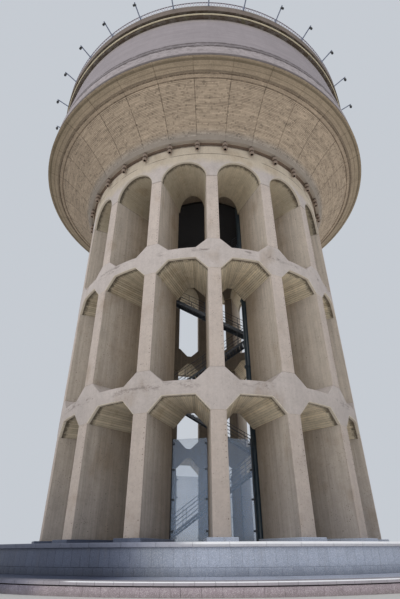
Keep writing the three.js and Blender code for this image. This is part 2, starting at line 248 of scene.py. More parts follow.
class Recipe(Bench):
    """A material's nodes: one shader, the patterns that feed it, and its colour as it is laid."""

    def __init__(self, name: str, surface: Surface, colour: Any = WHITE) -> None:
        """Starts the material.

        Args:
            name: The material's name.
            surface: The shader's constants.
            colour: The first colour.
        """
        self.material = bpy.data.materials.new(name)
        self.material.use_nodes = True
        super().__init__(self.material.node_tree)
        self.tree.nodes.clear()
        self.shader = self.tree.nodes.new("ShaderNodeBsdfPrincipled")
        for label, value in (("Specular IOR Level", surface.specular), ("Coat Weight", surface.coat),
                             ("Coat Roughness", surface.coat_roughness)):
            self.shader.inputs[label].default_value = value
        closing = self.tree.nodes.new("ShaderNodeOutputMaterial")
        self.tree.links.new(self.shader.outputs[0], closing.inputs["Surface"])
        self.colour = colour

    @cached_property
    def place(self) -> Wire:
        """The place on the object, in metres."""
        return self.node("ShaderNodeTexCoord", output="Object")

    @cached_property
    def xyz(self) -> tuple[Wire, Wire, Wire]:
        """The place's three numbers."""
        return self.place.parts()

    @cached_property
    def radius(self) -> Wire:
        """The distance from the tower's axis."""
        x, y, _ = self.xyz
        return (x * x + y * y).root()

    @cached_property
    def flat(self) -> tuple[Wire, Wire]:
        """The two numbers of the piece's own flat map."""
        across, along, _ = self.node("ShaderNodeUVMap", {"uv_map": "UVMap"}).parts()
        return across, along

    @cached_property
    def zones(self) -> tuple[Wire, Wire, Wire, Wire]:
        """The side, soffit, ring and accent masks that the faces carry."""
        read = self.node("ShaderNodeAttribute", {"attribute_name": "zone"}, output="Color")
        side, soffit, ring = read.parts()
        return side, soffit, ring, Wire(self, read.socket.node.outputs["Alpha"])

    @cached_property
    def tone(self) -> Wire:
        """The random tone, 0 to 1, that each repeated unit carries."""
        return self.node("ShaderNodeAttribute", {"attribute_name": "tone"}, output="Fac")

    def noise(self, scale: float, detail: float = 3.0, roughness: float = 0.55,
              stretch: tuple[float, float, float] | None = None, place: Wire | None = None) -> Wire:
        """A noise from 0 to 1.

        Args:
            scale: How many blotches fit in a metre.
            detail: How many finer layers it has.
            roughness: How strong the finer layers are.
            stretch: How much finer it is along each axis.
            place: Where it is read, if it isn't the place on the object.

        Returns:
            The wire of the noise.
        """
        where = self.place if place is None else place
        return self.node("ShaderNodeTexNoise", {}, {
            "Vector": where * stretch if stretch else where, "Scale": scale, "Detail": detail,
            "Roughness": roughness})

    def cells(self, scale: float, output: str) -> Wire:
        """Random cells, scale of them to a metre."""
        return self.node("ShaderNodeTexVoronoi", {}, {"Vector": self.place, "Scale": scale}, output)

    def speck(self, scale: float, size: float) -> Wire:
        """A mask of round specks, one in each cell. Their size is a share of a cell."""
        return self.cells(scale, "Distance").fade(size * 0.6, size)

    def join(self, first: Wire, second: Wire | float) -> Wire:
        """The vector of two numbers."""
        return self.node("ShaderNodeCombineXYZ", {}, {0: first, 1: second})

    def chance(self, first: Wire, second: Wire | float) -> Wire:
        """A random number from 0 to 1 for each pair of numbers."""
        return self.node("ShaderNodeTexWhiteNoise", {"noise_dimensions": "3D"},
                         {"Vector": self.join(first, second)}, "Value")

    def mix(self, share: Wire | float, first: Any, second: Any, blend: str = "MIX") -> Wire:
        """Mixes two colours.

        Args:
            share: How much of the second colour there is.
            first: The first colour.
            second: The second colour.
            blend: The way of mixing.

        Returns:
            The wire of the colour.
        """
        return self.node("ShaderNodeMix", {"data_type": "RGBA", "blend_type": blend},
                         {0: share, 6: first, 7: second}, 2)

    def lay(self, share: Wire, colour: Any, blend: str = "MIX") -> None:
        """Lays a colour over what is there, as thick as its share."""
        self.colour = self.mix(share, self.colour, colour, blend)

    def shade(self, amount: Wire) -> None:
        """Makes the colour lighter or darker."""
        self.colour = self.colour * amount

    def feed(self, roughness: Any, height: Wire | None = None, depth: float = 0.01,
             alpha: Any = None) -> bpy.types.Material:
        """Feeds the shader and gives the material.

        Args:
            roughness: The roughness.
            height: The height that the bump follows, 0 to 1.
            depth: The bump's full height, in metres.
            alpha: The opacity, where it isn't one.

        Returns:
            The material.
        """
        for name, value in (("Base Color", self.colour), ("Roughness", roughness), ("Alpha", alpha)):
            if isinstance(value, Wire):
                self.tree.links.new(value.socket, self.shader.inputs[name])
            elif value is not None:
                self.shader.inputs[name].default_value = value
        if height is not None:
            bump = self.node("ShaderNodeBump", {}, {"Height": height, "Distance": depth, "Strength": 0.8})
            self.tree.links.new(bump.socket, self.shader.inputs["Normal"])
        return self.material


# Finishes


@dataclass(frozen=True)
class ShaftConcrete:
    """The shaft's cast concrete: smooth faces and rings, streaked sides, board-marked soffits."""

    face: Colour = tint(195, 182, 173)
    ring: Colour = tint(193, 183, 178)
    arch_ring: Colour = tint(199, 186, 168)
    side: Colour = tint(184, 173, 161)
    # Painted shade on the sides towards the core
    core_shade_side: Colour = tint(162, 144, 120)
    # A cool tint that paints the sky's light on the low sides
    side_sky_tint: Colour = tint(214, 220, 238)
    soffit: Colour = tint(196, 184, 162)
    lip: Colour = tint(210, 200, 183)
    tan: Colour = tint(196, 176, 146)
    damp: Colour = tint(128, 106, 76)
    blot: Colour = tint(112, 102, 98)
    seam: Colour = tint(84, 72, 62)
    pit: Colour = tint(74, 64, 55)
    grime_and_shade: Colour = tint(56, 47, 39)
    board_side: float = 0.16
    board_soffit: float = 0.135
    tie_pitch: float = 0.245
    tie_offset: float = 0.29
    lip_radius: float = 9.83
    vault_foot: float = 23.0
    arch_joint: float = 25.42
    impost: float = 23.16
    stain_levels: tuple[float, ...] = (8.42, 16.83)

    def tones(self, r: Recipe) -> None:
        """Lays the clean concrete with its clouds, runs and grain, and paints light and shade on its sides
        and soffits.

        Args:
            r: The material's nodes.
        """
        x, _, z = r.xyz
        side, soffit, ring, _ = r.zones
        r.colour = r.mix(ring, self.face, self.ring)
        r.lay(ring * (z + r.noise(0.9).swing(1.2)).ease(24.2, 25.0), self.arch_ring)
        # The sides are cool by the face and darker and browner towards the core, a painted shade, and a
        # little lighter towards +x, a painted light
        deep = (r.radius + r.noise(0.7).swing(2.0)).fade(7.0, 9.4)
        r.lay(side, r.mix(deep * 0.55, self.side, self.core_shade_side) * x.ease(-8.0, 8.0, 0.94, 1.06))
        # Painted light and shade on the soffits: paler at the right and in the ground storey, and darker in
        # the vaults
        vault = (self.vault_foot, self.vault_foot + 0.4)
        bright = x.ease(-2.0, 4.0, 0.97, 1.28) * z.ease(8.2, 15.0, 1.20, 1.00) * z.ease(*vault, 1.0, 0.79)
        bright = bright * (1.0 - z.ease(*vault) * x.ease(5.0, 9.0) * 0.30)
        r.lay(soffit, r.mix(1.0, WHITE, self.soffit) * bright)
        shade = 1.0 + r.noise(0.32, 4.0, 0.6).swing(0.30) + r.noise(1.9, 6.0, 0.7).swing(0.34)
        shade = shade + r.noise(7.5, 5.0, 0.8).swing(0.42)
        shade = shade + r.noise(1.0, 6.0, 0.7, (5.5, 5.5, 0.22)).swing(0.24 + side * 0.62)
        # Lower storeys are a little darker
        r.shade(shade * z.ease(0.5, 24.0, 0.80, 1.08))
        # Painted cool skylight on the low sides
        r.lay(side * z.ease(1.6, 7.5, 0.42, 0.0), self.side_sky_tint, "MULTIPLY")
        r.lay(r.noise(0.9, 4.0, stretch=(0.8, 0.8, 0.5)).ease(0.52, 0.74) * 0.35, self.tan, "MULTIPLY")

    def stains(self, r: Recipe) -> None:
        """Lays dark blots under the sills, and ragged joints over and at the foot of the arches.

        Args:
            r: The material's nodes.
        """
        z, ring = r.xyz[2], r.zones[2]
        blot = r.noise(1.3, 5.0, 0.75, (1.1, 1.1, 3.4))
        ragged = r.noise(6.0, 4.0, 0.7)
        where = r.noise(0.42, 2.0).ease(0.5, 0.58)
        for level in self.stain_levels:
            off = abs(z - (level - 0.16) + ragged.swing(0.22))
            r.lay(off.fade(0.04, 0.30) * blot.ease(0.48, 0.60) * where * ring * 0.62, self.blot)
        seam = abs(z - self.arch_joint + ragged.swing(0.03)).fade(0.012, 0.045)
        r.lay(seam * r.noise(0.55, 2.0).ease(0.38, 0.50) * ring * 0.75, self.seam)
        impost = abs(z - self.impost + ragged.swing(0.05)).fade(0.02, 0.07)
        r.lay(impost * r.noise(1.1, 2.0).ease(0.36, 0.48) * 0.42, self.seam)

    def boards(self, r: Recipe) -> tuple[Wire, Wire, Wire]:
        """Marks the boards on the sides and the soffits.

        Args:
            r: The material's nodes.

        Returns:
            The soffits' lines, the sides' lines, and how proud each soffit board is.
        """
        z = r.xyz[2]
        across, along = r.flat
        side, soffit, _, _ = r.zones
        side_board = across / self.board_side
        side_line = side_board.seam(0.44, 0.5)
        side_tone = r.chance(side_board.floor(), 3.0)
        r.shade(1.0 + side * (side_tone.swing(0.06) - side_line * 0.07))
        board = across / self.board_soffit
        line = board.seam(0.33, 0.48)
        tone = r.chance(board.floor(), 7.0)
        streak = r.noise(1.0, 5.0, 0.7, place=r.join(across * 12.0, along * 0.9))
        marks = soffit * (1.0 - z.ease(self.vault_foot, self.vault_foot + 0.3) * 0.72)
        broken = r.noise(1.8, 3.0, 0.7).ease(0.34, 0.60, 0.40, 1.0)
        deep_line = z.ease(8.2, 14.0, 0.38, 0.62) * broken
        worn = marks * (tone.swing(0.26) - line * deep_line) + soffit * (streak - 0.5) * 0.46
        r.shade(1.0 + worn)
        return line * marks, side_line * side, tone * marks

    def shade_and_stains(self, r: Recipe) -> None:
        """Lays a painted shadow with stains behind the lips, painted shade in the bays where they meet the
        core, and damp patches on the soffits.

        Args:
            r: The material's nodes.
        """
        side, soffit, _, _ = r.zones
        ragged = r.noise(5.0, 5.0, 0.8)
        # A ragged dark band just inside each lip: the lip's painted shadow, with stains in it
        edge = (r.radius + ragged.swing(0.85)).ease(self.lip_radius - 0.34, self.lip_radius - 0.06)
        inside = (r.radius < self.lip_radius) * soffit
        r.lay(edge * inside * 0.78, self.grime_and_shade)
        # Painted shade where the sides and soffits meet the core
        rear = side * r.radius.fade(6.90, 6.98) + soffit * r.radius.fade(6.62, 6.70)
        r.lay(rear * (0.36 + ragged * 0.2), self.grime_and_shade)
        r.lay(r.noise(1.6, 4.0, 0.7).ease(0.56, 0.74) * soffit * 0.30, self.damp)

    def pits(self, r: Recipe) -> Wire:
        """Lays small holes left by air, and the plugs of the formwork's ties.

        Args:
            r: The material's nodes.

        Returns:
            The mask of the holes.
        """
        across, along = r.flat
        side, soffit, ring, accent = r.zones
        plain = (1.0 - side) * (1.0 - soffit) * (1.0 - accent)
        patch = r.noise(1.3).ease(0.44, 0.64)
        holes = r.speck(9.0, 0.20) * (0.30 + patch * 0.70) * (1.0 - ring * 0.5) * (1.0 - soffit * 0.6)
        off = abs(across - self.tie_offset)
        tie = along / self.tie_pitch
        lift = (tie.fract() - 0.5) * self.tie_pitch
        plugs = (off * off + lift * lift).root().fade(0.016, 0.030) * plain * (1.0 - ring)
        plugs = plugs * (0.15 + 0.85 * (r.chance(tie.floor(), across > 0.0) > 0.55))
        pits = holes.most(r.speck(2.3, 0.075) * side).most(plugs)
        r.lay(pits * 0.78, self.pit)
        return pits

    def make(self) -> bpy.types.Material:
        """Builds the material."""
        r = Recipe("shaft concrete", Surface(specular=0.25))
        self.tones(r)
        self.stains(r)
        # The pale arris round each opening: a painted highlight along the edge, paler still where it is
        # chipped
        chipped = r.noise(3.0, 4.0, 0.7).ease(0.30, 0.56)
        r.lay(r.zones[3] * (0.30 + chipped * 0.55), self.lip)
        lines, side_lines, proud = self.boards(r)
        self.shade_and_stains(r)
        pits = self.pits(r)
        grain = r.noise(16.0, 5.0, 0.75)
        height = grain.swing(0.7) - pits * 0.9 - lines * 0.8 - side_lines * 0.3 + proud * 0.5
        return r.feed(0.86 + grain.swing(0.2), height, 0.008)


@dataclass(frozen=True)
class BoardConcrete:
    """The tank's flared underside, cast against narrow boards laid round it."""

    base: Colour = tint(174, 157, 138)
    cool: Colour = tint(158, 149, 140)
    moss: Colour = tint(96, 92, 60)
    recess: Colour = tint(134, 114, 100)
    rear: Colour = tint(196, 182, 162)
    grime_and_shade: Colour = tint(62, 53, 44)
    row: float = 0.0993
    first_row: float = 0.738
    smooth_end: float = 0.96
    field_end: float = 4.712
    rim_bands: tuple[tuple[float, float, float], ...] = ((0.62, 0.10, 0.42), (0.98, 0.05, 0.30),
                                                         (1.36, 0.10, 0.55))

    def boards(self, r: Recipe, cloudy: Wire, grain: Wire) -> Wire:
        """Lays the board field: rows that are broken into short ends, set off by a random amount.

        Args:
            r: The material's nodes.
            cloudy: A middling noise.
            grain: A fine noise.

        Returns:
            How deep the boards' marks are.
        """
        across, along = r.flat
        panel = across.floor()
        rows = (along - self.first_row) / self.row
        row = rows.floor()
        start = r.chance(row, panel)
        ends = across * 3.0 + start * 4.0
        tone = r.chance(ends.floor(), row)
        dash = r.chance((across * 9.0 + start * 7.0).floor(), row)
        fine = r.chance((across * 19.0 + start * 9.0).floor(), row + 31.0)
        line, end = rows.seam(0.26, 0.5), ends.seam(0.47, 0.5)
        outer = along.fade(self.field_end - 0.02, self.field_end + 0.02)
        ragged_end = along + start.swing(0.12)
        in_field = outer * ragged_end.ease(self.smooth_end - 0.04, self.smooth_end + 0.04)
        shade = 1.0 + r.noise(0.28, 4.0, 0.6).swing(0.30) + cloudy.swing(0.26) + grain.swing(0.26)
        pocks = (fine > 0.90) * -0.34 + (dash < 0.14) * 0.12
        dark_run = (r.chance((across * 4.0 + start * 3.0).floor(), row + 11.0) > 0.55) * 0.50
        boards = tone.swing(0.26) + fine.swing(0.10) + pocks - line * (0.14 + dark_run)
        shade = shade + in_field * (boards - end * 0.10 + 0.16) + r.chance(panel, 2.0).swing(0.08)
        near_lip = along.fade(self.smooth_end, self.smooth_end + 0.6)
        r.colour = r.mix(near_lip * 0.85, self.base, self.cool)
        # Darker towards the left: painted shade on the flare
        r.shade(shade * r.xyz[0].ease(-13.0, -1.0, 0.74, 1.0))
        # Some rows stand out as darker lines
        strong = (r.chance(row, 5.0) > 0.66) * in_field * r.noise(0.9, 2.0).ease(0.44, 0.52)
        r.lay(strong * line * 0.75, self.grime_and_shade)
        return in_field * (end * 0.4 - tone * 0.3)

    def damp(self, r: Recipe, cloudy: Wire) -> None:
        """Lays the darkening along the panel joints and round the rim.

        Args:
            r: The material's nodes.
            cloudy: A middling noise.
        """
        across, along = r.flat
        joint = across.seam(0.476, 0.5)
        worn = r.noise(3.2, 4.0, 0.7).ease(0.34, 0.56)
        joint = joint * along.ease(self.field_end, self.field_end + 0.3, 1.0, 0.45)
        r.lay(joint * worn * along.ease(0.8, 1.3) * 0.70, self.grime_and_shade)
        streaks = r.noise(1.0, 4.0, 0.7, place=r.join(across * 1.2, along * 16.0))
        rim = along.ease(self.field_end - 0.05, self.field_end + 0.05)
        mottle = streaks.swing(1.0) + cloudy.swing(0.6) + r.noise(11.0, 3.0, 0.9).swing(1.1)
        r.shade(1.0 + rim * (mottle - 0.02))
        for distance, width, share in self.rim_bands:
            off = abs(along - self.field_end - distance + streaks.swing(0.14))
            r.lay(off.fade(width * 0.5, width) * share, self.grime_and_shade)
        moss = (along + cloudy.swing(0.7)).ease(self.field_end + 0.2, self.field_end + 1.2)
        r.lay(moss * 0.22, self.moss)

    def make(self) -> bpy.types.Material:
        """Builds the material."""
        r = Recipe("board-marked concrete", Surface(specular=0.2))
        side, soffit, _, accent = r.zones
        cloudy = r.noise(1.4, 6.0, 0.75)
        grain = r.noise(6.5, 5.0, 0.85)
        marks = self.boards(r, cloudy, grain)
        self.damp(r, cloudy)
        spots = r.speck(3.1, 0.09) * r.noise(0.7, 2.0).ease(0.45, 0.6)
        r.lay(spots * 0.62, self.grime_and_shade)
        ragged = r.noise(3.5, 4.0, 0.8).ease(0.36, 0.56)
        # The mouldings' grooves and the drip are darkened, partly painted shade in these recesses and partly
        # grime
        r.lay(accent * (0.16 + ragged * 0.42), self.grime_and_shade)
        # The recess behind the lip: painted shade
        r.lay(soffit * (0.62 + ragged * 0.3), self.recess)
        # The lip's bead: a painted highlight
        r.lay(side * 0.7, self.rear)
        return r.feed(0.9 + grain.swing(0.15), grain.swing(0.6) - marks - spots * 0.6, 0.009)


@dataclass(frozen=True)
class WallConcrete:
    """The smooth cast wall of the tank, with a stained lift line and faint bands."""

    base: Colour = tint(163, 154, 157)
    foot: Colour = tint(182, 172, 173)
    crown: Colour = tint(186, 174, 152)
    stain: Colour = tint(76, 68, 66)
    lift: float = 31.11
    top: float = 36.25
    dark_foot_band: Pair = (29.98, 30.12)
    lift_lines: tuple[tuple[float, float, float], ...] = ((0.03, 0.19, 0.80), (0.56, 0.16, 0.66))

    def stains(self, r: Recipe, runs: Wire) -> Wire:
        """Lays two ragged lines at the lift with blotches between them, and marks at foot and top.

        Args:
            r: The material's nodes.
            runs: The noise of the rain's runs.

        Returns:
            The mask of small holes.
        """
        z = r.xyz[2]
        off = z - self.lift
        blot = r.noise(1.2, 6.0, 0.8, (1.5, 1.5, 5.0))
        torn = r.noise(2.6, 5.0, 0.8, (1.0, 1.0, 2.0))
        between = off.ease(-0.05, 0.02) * off.fade(0.50, 0.70)
        r.lay(between * blot.ease(0.36, 0.54) * 0.50, self.stain)
        for level, half, share in self.lift_lines:
            line = abs(off - level + blot.swing(0.35)).fade(half * 0.4, half)
            r.lay(line * torn.ease(0.40, 0.52) * share, self.stain)
        r.lay(off.fade(-0.1, 0.0) * torn.ease(0.44, 0.60) * 0.32, self.stain)
        # A dark ragged band low on the wall, just above the rim
        r.lay((z + torn.swing(0.45)).fade(*self.dark_foot_band) * 0.76, self.stain)
        r.lay((z + runs.swing(0.8)).ease(self.top - 0.7, self.top) * 0.30, self.crown)
        drips = runs.ease(0.56, 0.72) * z.ease(self.lift - 1.2, self.lift)
        drips = drips * z.fade(self.lift, self.lift + 2.0)
        r.lay(drips * 0.30, self.stain)
        scratch = r.noise(1.0, 3.0, 0.6, (0.5, 0.5, 9.0)).ease(0.62, 0.70)
        r.lay(scratch * r.noise(0.4, 2.0).ease(0.48, 0.56) * 0.30, self.stain)
        pits = r.speck(7.0, 0.16) * r.noise(1.1, 2.0).ease(0.5, 0.7)
        r.lay(pits * 0.45, self.stain)
        return pits

    def make(self) -> bpy.types.Material:
        """Builds the material."""
        r = Recipe("smooth concrete", Surface(specular=0.25))
        bands = r.noise(1.0, 6.0, 0.7, (0.30, 0.30, 3.2))
        runs = r.noise(1.0, 5.0, 0.65, (2.6, 2.6, 0.22))
        grain = r.noise(7.0, 5.0, 0.8)
        r.colour = r.mix(r.xyz[2].ease(self.lift - 0.06, self.lift + 0.06), self.foot, self.base)
        shade = 1.0 + r.noise(0.34, 4.0, 0.6, (1.0, 1.0, 1.6)).swing(0.26) + bands.swing(0.42)
        r.shade(shade + runs.swing(0.18) + grain.swing(0.24))
        pits = self.stains(r, runs)
        return r.feed(0.84 + grain.swing(0.2), grain.swing(0.5) + bands.swing(0.5) - pits * 0.8, 0.006)


@dataclass(frozen=True)
class CorniceConcrete:
    """The cornice: a pale fillet and slab edge over a dark underside, painted shade with damp patches."""

    slab: Colour = tint(132, 120, 112)
    fillet: Colour = tint(206, 194, 168)
    under: Colour = tint(76, 63, 52)
    deck: Colour = tint(150, 147, 143)
    moss: Colour = tint(92, 90, 58)

    def make(self) -> bpy.types.Material:
        """Builds the material. Side faces are the slab's edge, ring faces the fillet, soffits dark with
        painted shade.
        """
        r = Recipe("cornice concrete", Surface(specular=0.2), self.deck)
        side, soffit, ring, _ = r.zones
        grain = r.noise(9.0, 5.0, 0.7)
        runs = r.noise(1.0, 5.0, 0.7, (2.8, 2.8, 0.5))
        r.lay(side, self.slab)
        r.lay(ring, self.fillet)
        r.shade(1.0 + r.noise(0.5, 4.0, 0.6).swing(0.4) + grain.swing(0.45) + runs.swing(0.5))
        # Painted shade on the underside, varied by damp patches
        damp = r.noise(1.0, 5.0, 0.7, (2.0, 2.0, 4.0)).ease(0.35, 0.60)
        r.lay(soffit * (0.62 + damp * 0.33), self.under)
        r.lay(r.noise(1.7, 4.0).ease(0.55, 0.72) * soffit * 0.5, self.moss)
        return r.feed(0.9, (grain - 0.5) + runs * 0.5, 0.006)


def paint_light_and_shade(r: Recipe, broad: Wire, light_band: Four, shade_tint: Colour = tint(186, 206, 255)) -> None:
    """Paints light and shade on a stone course: a dark, cool painted shade round the left of its front, and
    painted light at the right.

    Args:
        r: The material's nodes. The back keeps its plain colour.
        broad: A broad noise that makes the change ragged.
        light_band: Where the change starts and ends along x, and the lightness before and after it.
        shade_tint: What the dark part is tinted with.
    """
    x, y, _ = r.xyz
    # Painted shade at the left of the front turns into painted light at its right; the back stays plain
    front = (x + broad.swing(1.6)).ease(*light_band)
    back = (y + broad.swing(4.0)).ease(-3.0, 5.0)
    lightness = front + (1.0 - front) * back
    r.shade(lightness)
    r.lay((1.0 - lightness).most(0.0), shade_tint, "MULTIPLY")


@dataclass(frozen=True)
class Granite:
    """Honed granite slabs with fine grains, each slab a little different."""

    name: str = "granite"
    base: Colour = tint(142, 149, 163)
    grains: Colour = tint(98, 103, 116)
    light: Colour = tint(178, 180, 188)
    roughness: float = 0.5
    light_band: Four = (-2.6, 1.8, 0.32, 1.50)
    foot: float = 1.0
    foot_height: Pair = (0.46, 0.86)
    splash: Colour = tint(92, 84, 78)

    def make(self) -> bpy.types.Material:
        """Builds the material."""
        r = Recipe(self.name, Surface(specular=0.45), self.base)
        z = r.xyz[2]
        broad = r.noise(0.6)
        cloudy = r.noise(3.0, 5.0, 0.7)
        dark, pale = r.cells(95.0, "Color").parts()[0], r.cells(60.0, "Color").parts()[1]
        r.lay(dark.ease(0.72, 0.80) * 0.6, self.grains)
        r.lay(pale.ease(0.74, 0.82) * 0.5, self.light)
        r.shade(1.0 + r.tone.swing(0.14) + broad.swing(0.16) + cloudy.swing(0.18))
        r.shade(z.ease(*self.foot_height, self.foot, 1.0))
        # Painted light and shade across the front
        paint_light_and_shade(r, broad, self.light_band)
        splash = (z + cloudy.swing(0.3)).fade(0.0, 0.22)
        runs = r.noise(1.0, 4.0, stretch=(5.0, 5.0, 0.6)).ease(0.55, 0.8)
        r.lay((splash * 0.4 + runs * 0.22).least(0.6), self.splash)
        return r.feed(self.roughness + cloudy.swing(0.25), cloudy * 0.4 + dark * 0.3, 0.002)


@dataclass(frozen=True)
class PaleStone:
    """Smooth pale stone of the coping, nosing and paving. A painted highlight along its upper edge starts at
    a height and a radius.
    """

    name: str = "pale stone"
    base: Colour = tint(197, 196, 200)
    stain: Colour = tint(134, 130, 130)
    light_band: Four = (-3.0, 2.0, 0.86, 1.08)
    edge: Four = (9.0, 0.0, 0.0, 1.0)
    highlight_tone: Colour = tint(243, 243, 246)

    def make(self) -> bpy.types.Material:
        """Builds the material."""
        r = Recipe(self.name, Surface(specular=0.4), self.base)
        x, y, z = r.xyz
        broad = r.noise(0.7, 4.0, 0.6)
        cloudy = r.noise(4.0, 6.0, 0.7)
        r.lay(r.cells(70.0, "Color").parts()[0].ease(0.8, 0.88) * 0.25, self.stain)
        r.lay(cloudy.ease(0.50, 0.80) * 0.45, self.stain)
        r.shade(1.0 + r.tone.swing(0.12) + broad.swing(0.25))
        # Painted light and shade across the front
        paint_light_and_shade(r, broad, self.light_band)
        # A painted highlight keeps the upper edge white, but not at the left of the front
        height, radius, start, end = self.edge
        highlight = z.ease(height - 0.010, height + 0.008) * (r.radius > radius)
        highlight = highlight * (x + broad.swing(1.2)).ease(start, end) * y.ease(-2.0, 3.0, 1.0, 0.2)
        r.lay(highlight * (1.0 - cloudy.ease(0.55, 0.85) * 0.3), self.highlight_tone)
        return r.feed(0.55 + cloudy.swing(0.3), cloudy, 0.002)


@dataclass(frozen=True)
class Paint:
    """Painted steel with a little dust and wear."""

    name: str = "white paint"
    base: Colour = tint(226, 229, 233)
    dust: Colour = tint(150, 146, 140)
    dusty: float = 0.3
    roughness: float = 0.42
    coat: float = 0.15

    def make(self) -> bpy.types.Material:
        """Builds the material."""
        r = Recipe(self.name, Surface(specular=0.5, coat=self.coat, coat_roughness=0.25), self.base)
        patches = r.noise(2.2, 5.0, 0.65)
        fine = r.noise(30.0, 4.0, 0.6)
        r.lay(patches.ease(0.45, 0.8) * self.dusty, self.dust)
        r.shade(1.0 + fine.swing(0.12) + patches.swing(0.12))
        return r.feed(self.roughness + patches.swing(0.25), fine, 0.0008)


@dataclass(frozen=True)
class SpoutConcrete:
    """The weathered cast spouts under the lip, with damp patches, and a bore and neck darkened as painted
    shade.
    """

    base: Colour = tint(150, 134, 122)
    damp: Colour = tint(84, 70, 62)
    bore: Colour = tint(22, 18, 16)

    def make(self) -> bpy.types.Material:
        """Builds the material. Accent faces are the bore and soffit faces the neck, both darkened as painted
        shade.
        """
        r = Recipe("spout concrete", Surface(specular=0.2), self.base)
        _, soffit, _, accent = r.zones
        grain = r.noise(22.0, 4.0, 0.7)
        r.lay(r.noise(4.5, 5.0, 0.7).ease(0.50, 0.72) * 0.5, self.damp)
        r.shade(1.0 + grain.swing(0.5))
        # Painted shade on the neck and in the bore
        r.lay(soffit * 0.85, self.damp)
        r.lay(accent, self.bore)
        return r.feed(0.88, grain, 0.004)


@dataclass(frozen=True)
class SheetGlass:
    """Laminated glass with a pale blue veil, partly its own tint and partly a painted reflection, and dust
    towards its foot.
    """

    body: Colour = tint(190, 216, 250)
    edge: Colour = tint(206, 222, 226)
    dust: Colour = tint(170, 168, 160)
    foot: float = 1.5
    tint_and_reflection: float = 0.26

    def make(self) -> bpy.types.Material:
        """Builds the material. The sheets' edges are accent faces, bright and nearly opaque."""
        r = Recipe("sheet glass", Surface(specular=0.6, coat=0.6, coat_roughness=0.03), self.body)
        accent = r.zones[3]
        tint_and_reflection = r.noise(0.8, 4.0, stretch=(1.0, 1.0, 0.5))
        dust = (r.xyz[2] + tint_and_reflection.swing(0.6)).fade(self.foot, self.foot + 0.6)
        r.lay(accent, self.edge)
        r.lay(dust * 0.4, self.dust)
        # How opaque the veil is: partly the glass's tint, partly painted reflection
        alpha = (self.tint_and_reflection + tint_and_reflection.swing(0.12) + dust * 0.06 + accent * 0.60).least(0.95)
        return r.feed(0.06 + dust * 0.2, alpha=alpha)


@dataclass(frozen=True)
class StudioFloor:
    """The plain pale floor under the tower."""

    base: Colour = tint(208, 206, 203)
    soft: Colour = tint(213, 211, 208)

    def make(self) -> bpy.types.Material:
        """Builds the material."""
        r = Recipe("studio floor", Surface(specular=0.2), self.base)
        r.lay(r.noise(0.05, 2.0), self.soft)
        return r.feed(0.9)


class Palette:
    """Every finish, made once."""

    def __init__(self) -> None:
        """Makes the materials."""
        self.shaft = ShaftConcrete().make()
        self.boards = BoardConcrete().make()
        self.wall = WallConcrete().make()
        self.cornice = CorniceConcrete().make()
        # The bands given to the stones set where painted shade at the left of the front turns into painted
        # light
        self.granite = Granite(foot=0.60).make()
        self.mortar = Granite("mortar", tint(132, 137, 148), tint(112, 116, 126), tint(150, 152, 160), 0.9,
                              (-2.0, 1.6, 0.14, 1.36), 0.55).make()
        self.riser = Granite("pink granite", tint(151, 139, 146), tint(118, 104, 108), tint(204, 196, 198),
                             light_band=(-5.8, -2.9, 0.26, 1.07)).make()
        self.stone = PaleStone().make()
        self.coping = PaleStone("coping stone", light_band=(-3.0, 2.0, 0.22, 0.92),
                                edge=(1.392, 13.0, 0.6, 1.7)).make()
        self.nosing = PaleStone("nosing stone", tint(149, 144, 151), tint(110, 102, 104),
                                (-5.6, -2.9, 0.36, 1.08), (0.377, 14.44, -3.0, -2.2)).make()
        self.tread = Granite("tread granite", tint(146, 151, 165), light=tint(182, 184, 194),
                             light_band=(-2.4, 1.6, 0.27, 1.38)).make()
        self.spout = SpoutConcrete().make()
        # Near-black paint for the disc over the core: painted shade
        self.ceiling = Paint("ceiling shade", tint(30, 28, 29), tint(52, 48, 46), 0.4, 0.8, 0.0).make()
        # Near-black bedding: painted shadow in the gap under the step's nosing
        self.shadow_bedding = Granite("shadow bedding", tint(20, 18, 18), tint(14, 13, 13), tint(34, 32, 31), 0.95,
                                  (-2.6, 1.8, 1.0, 1.0)).make()
        self.white = Paint().make()
        self.handrail = Paint("handrail paint", tint(120, 108, 116), tint(84, 76, 78)).make()
        self.steel = Paint("dark paint", tint(52, 57, 64), tint(92, 90, 88), 0.3, 0.45, 0.2).make()
        self.pipe = Paint("pipe paint", tint(48, 66, 78), tint(86, 92, 94), 0.25, 0.38, 0.3).make()
        # Blue-grey: the arms' white paint as it looks in shade, a painted shade
        self.arm = Paint("arm paint", tint(128, 136, 158), tint(110, 110, 112), 0.3, 0.45, 0.2).make()
        self.baluster = Paint("baluster paint", tint(188, 182, 192), tint(136, 124, 126), 0.4).make()
        self.lamp = Paint("lamp black", tint(24, 25, 27), tint(60, 58, 56), 0.15, 0.4, 0.2).make()
        self.glass = SheetGlass().make()
        self.floor = StudioFloor().make()


# Meshes


def span(middle: float, half: float) -> Pair:
    """From half a width before a middle to half a width after it."""
    return (middle - half, middle + half)


def banded(*runs: tuple[int, Zone]) -> list[Zone]:
    """The zone of each step of a profile, from runs of steps that have the same one."""
    return [zone for count, zone in runs for _ in range(count)]


def run_of(points: Sequence[Pair]) -> list[float]:
    """Measures along a line.

    Args:
        points: The line's points.

    Returns:
        How far each point is along it.
    """
    lengths = [0.0]
    for first, second in zip(points, points[1:]):
        lengths.append(lengths[-1] + math.dist(first, second))
    return lengths


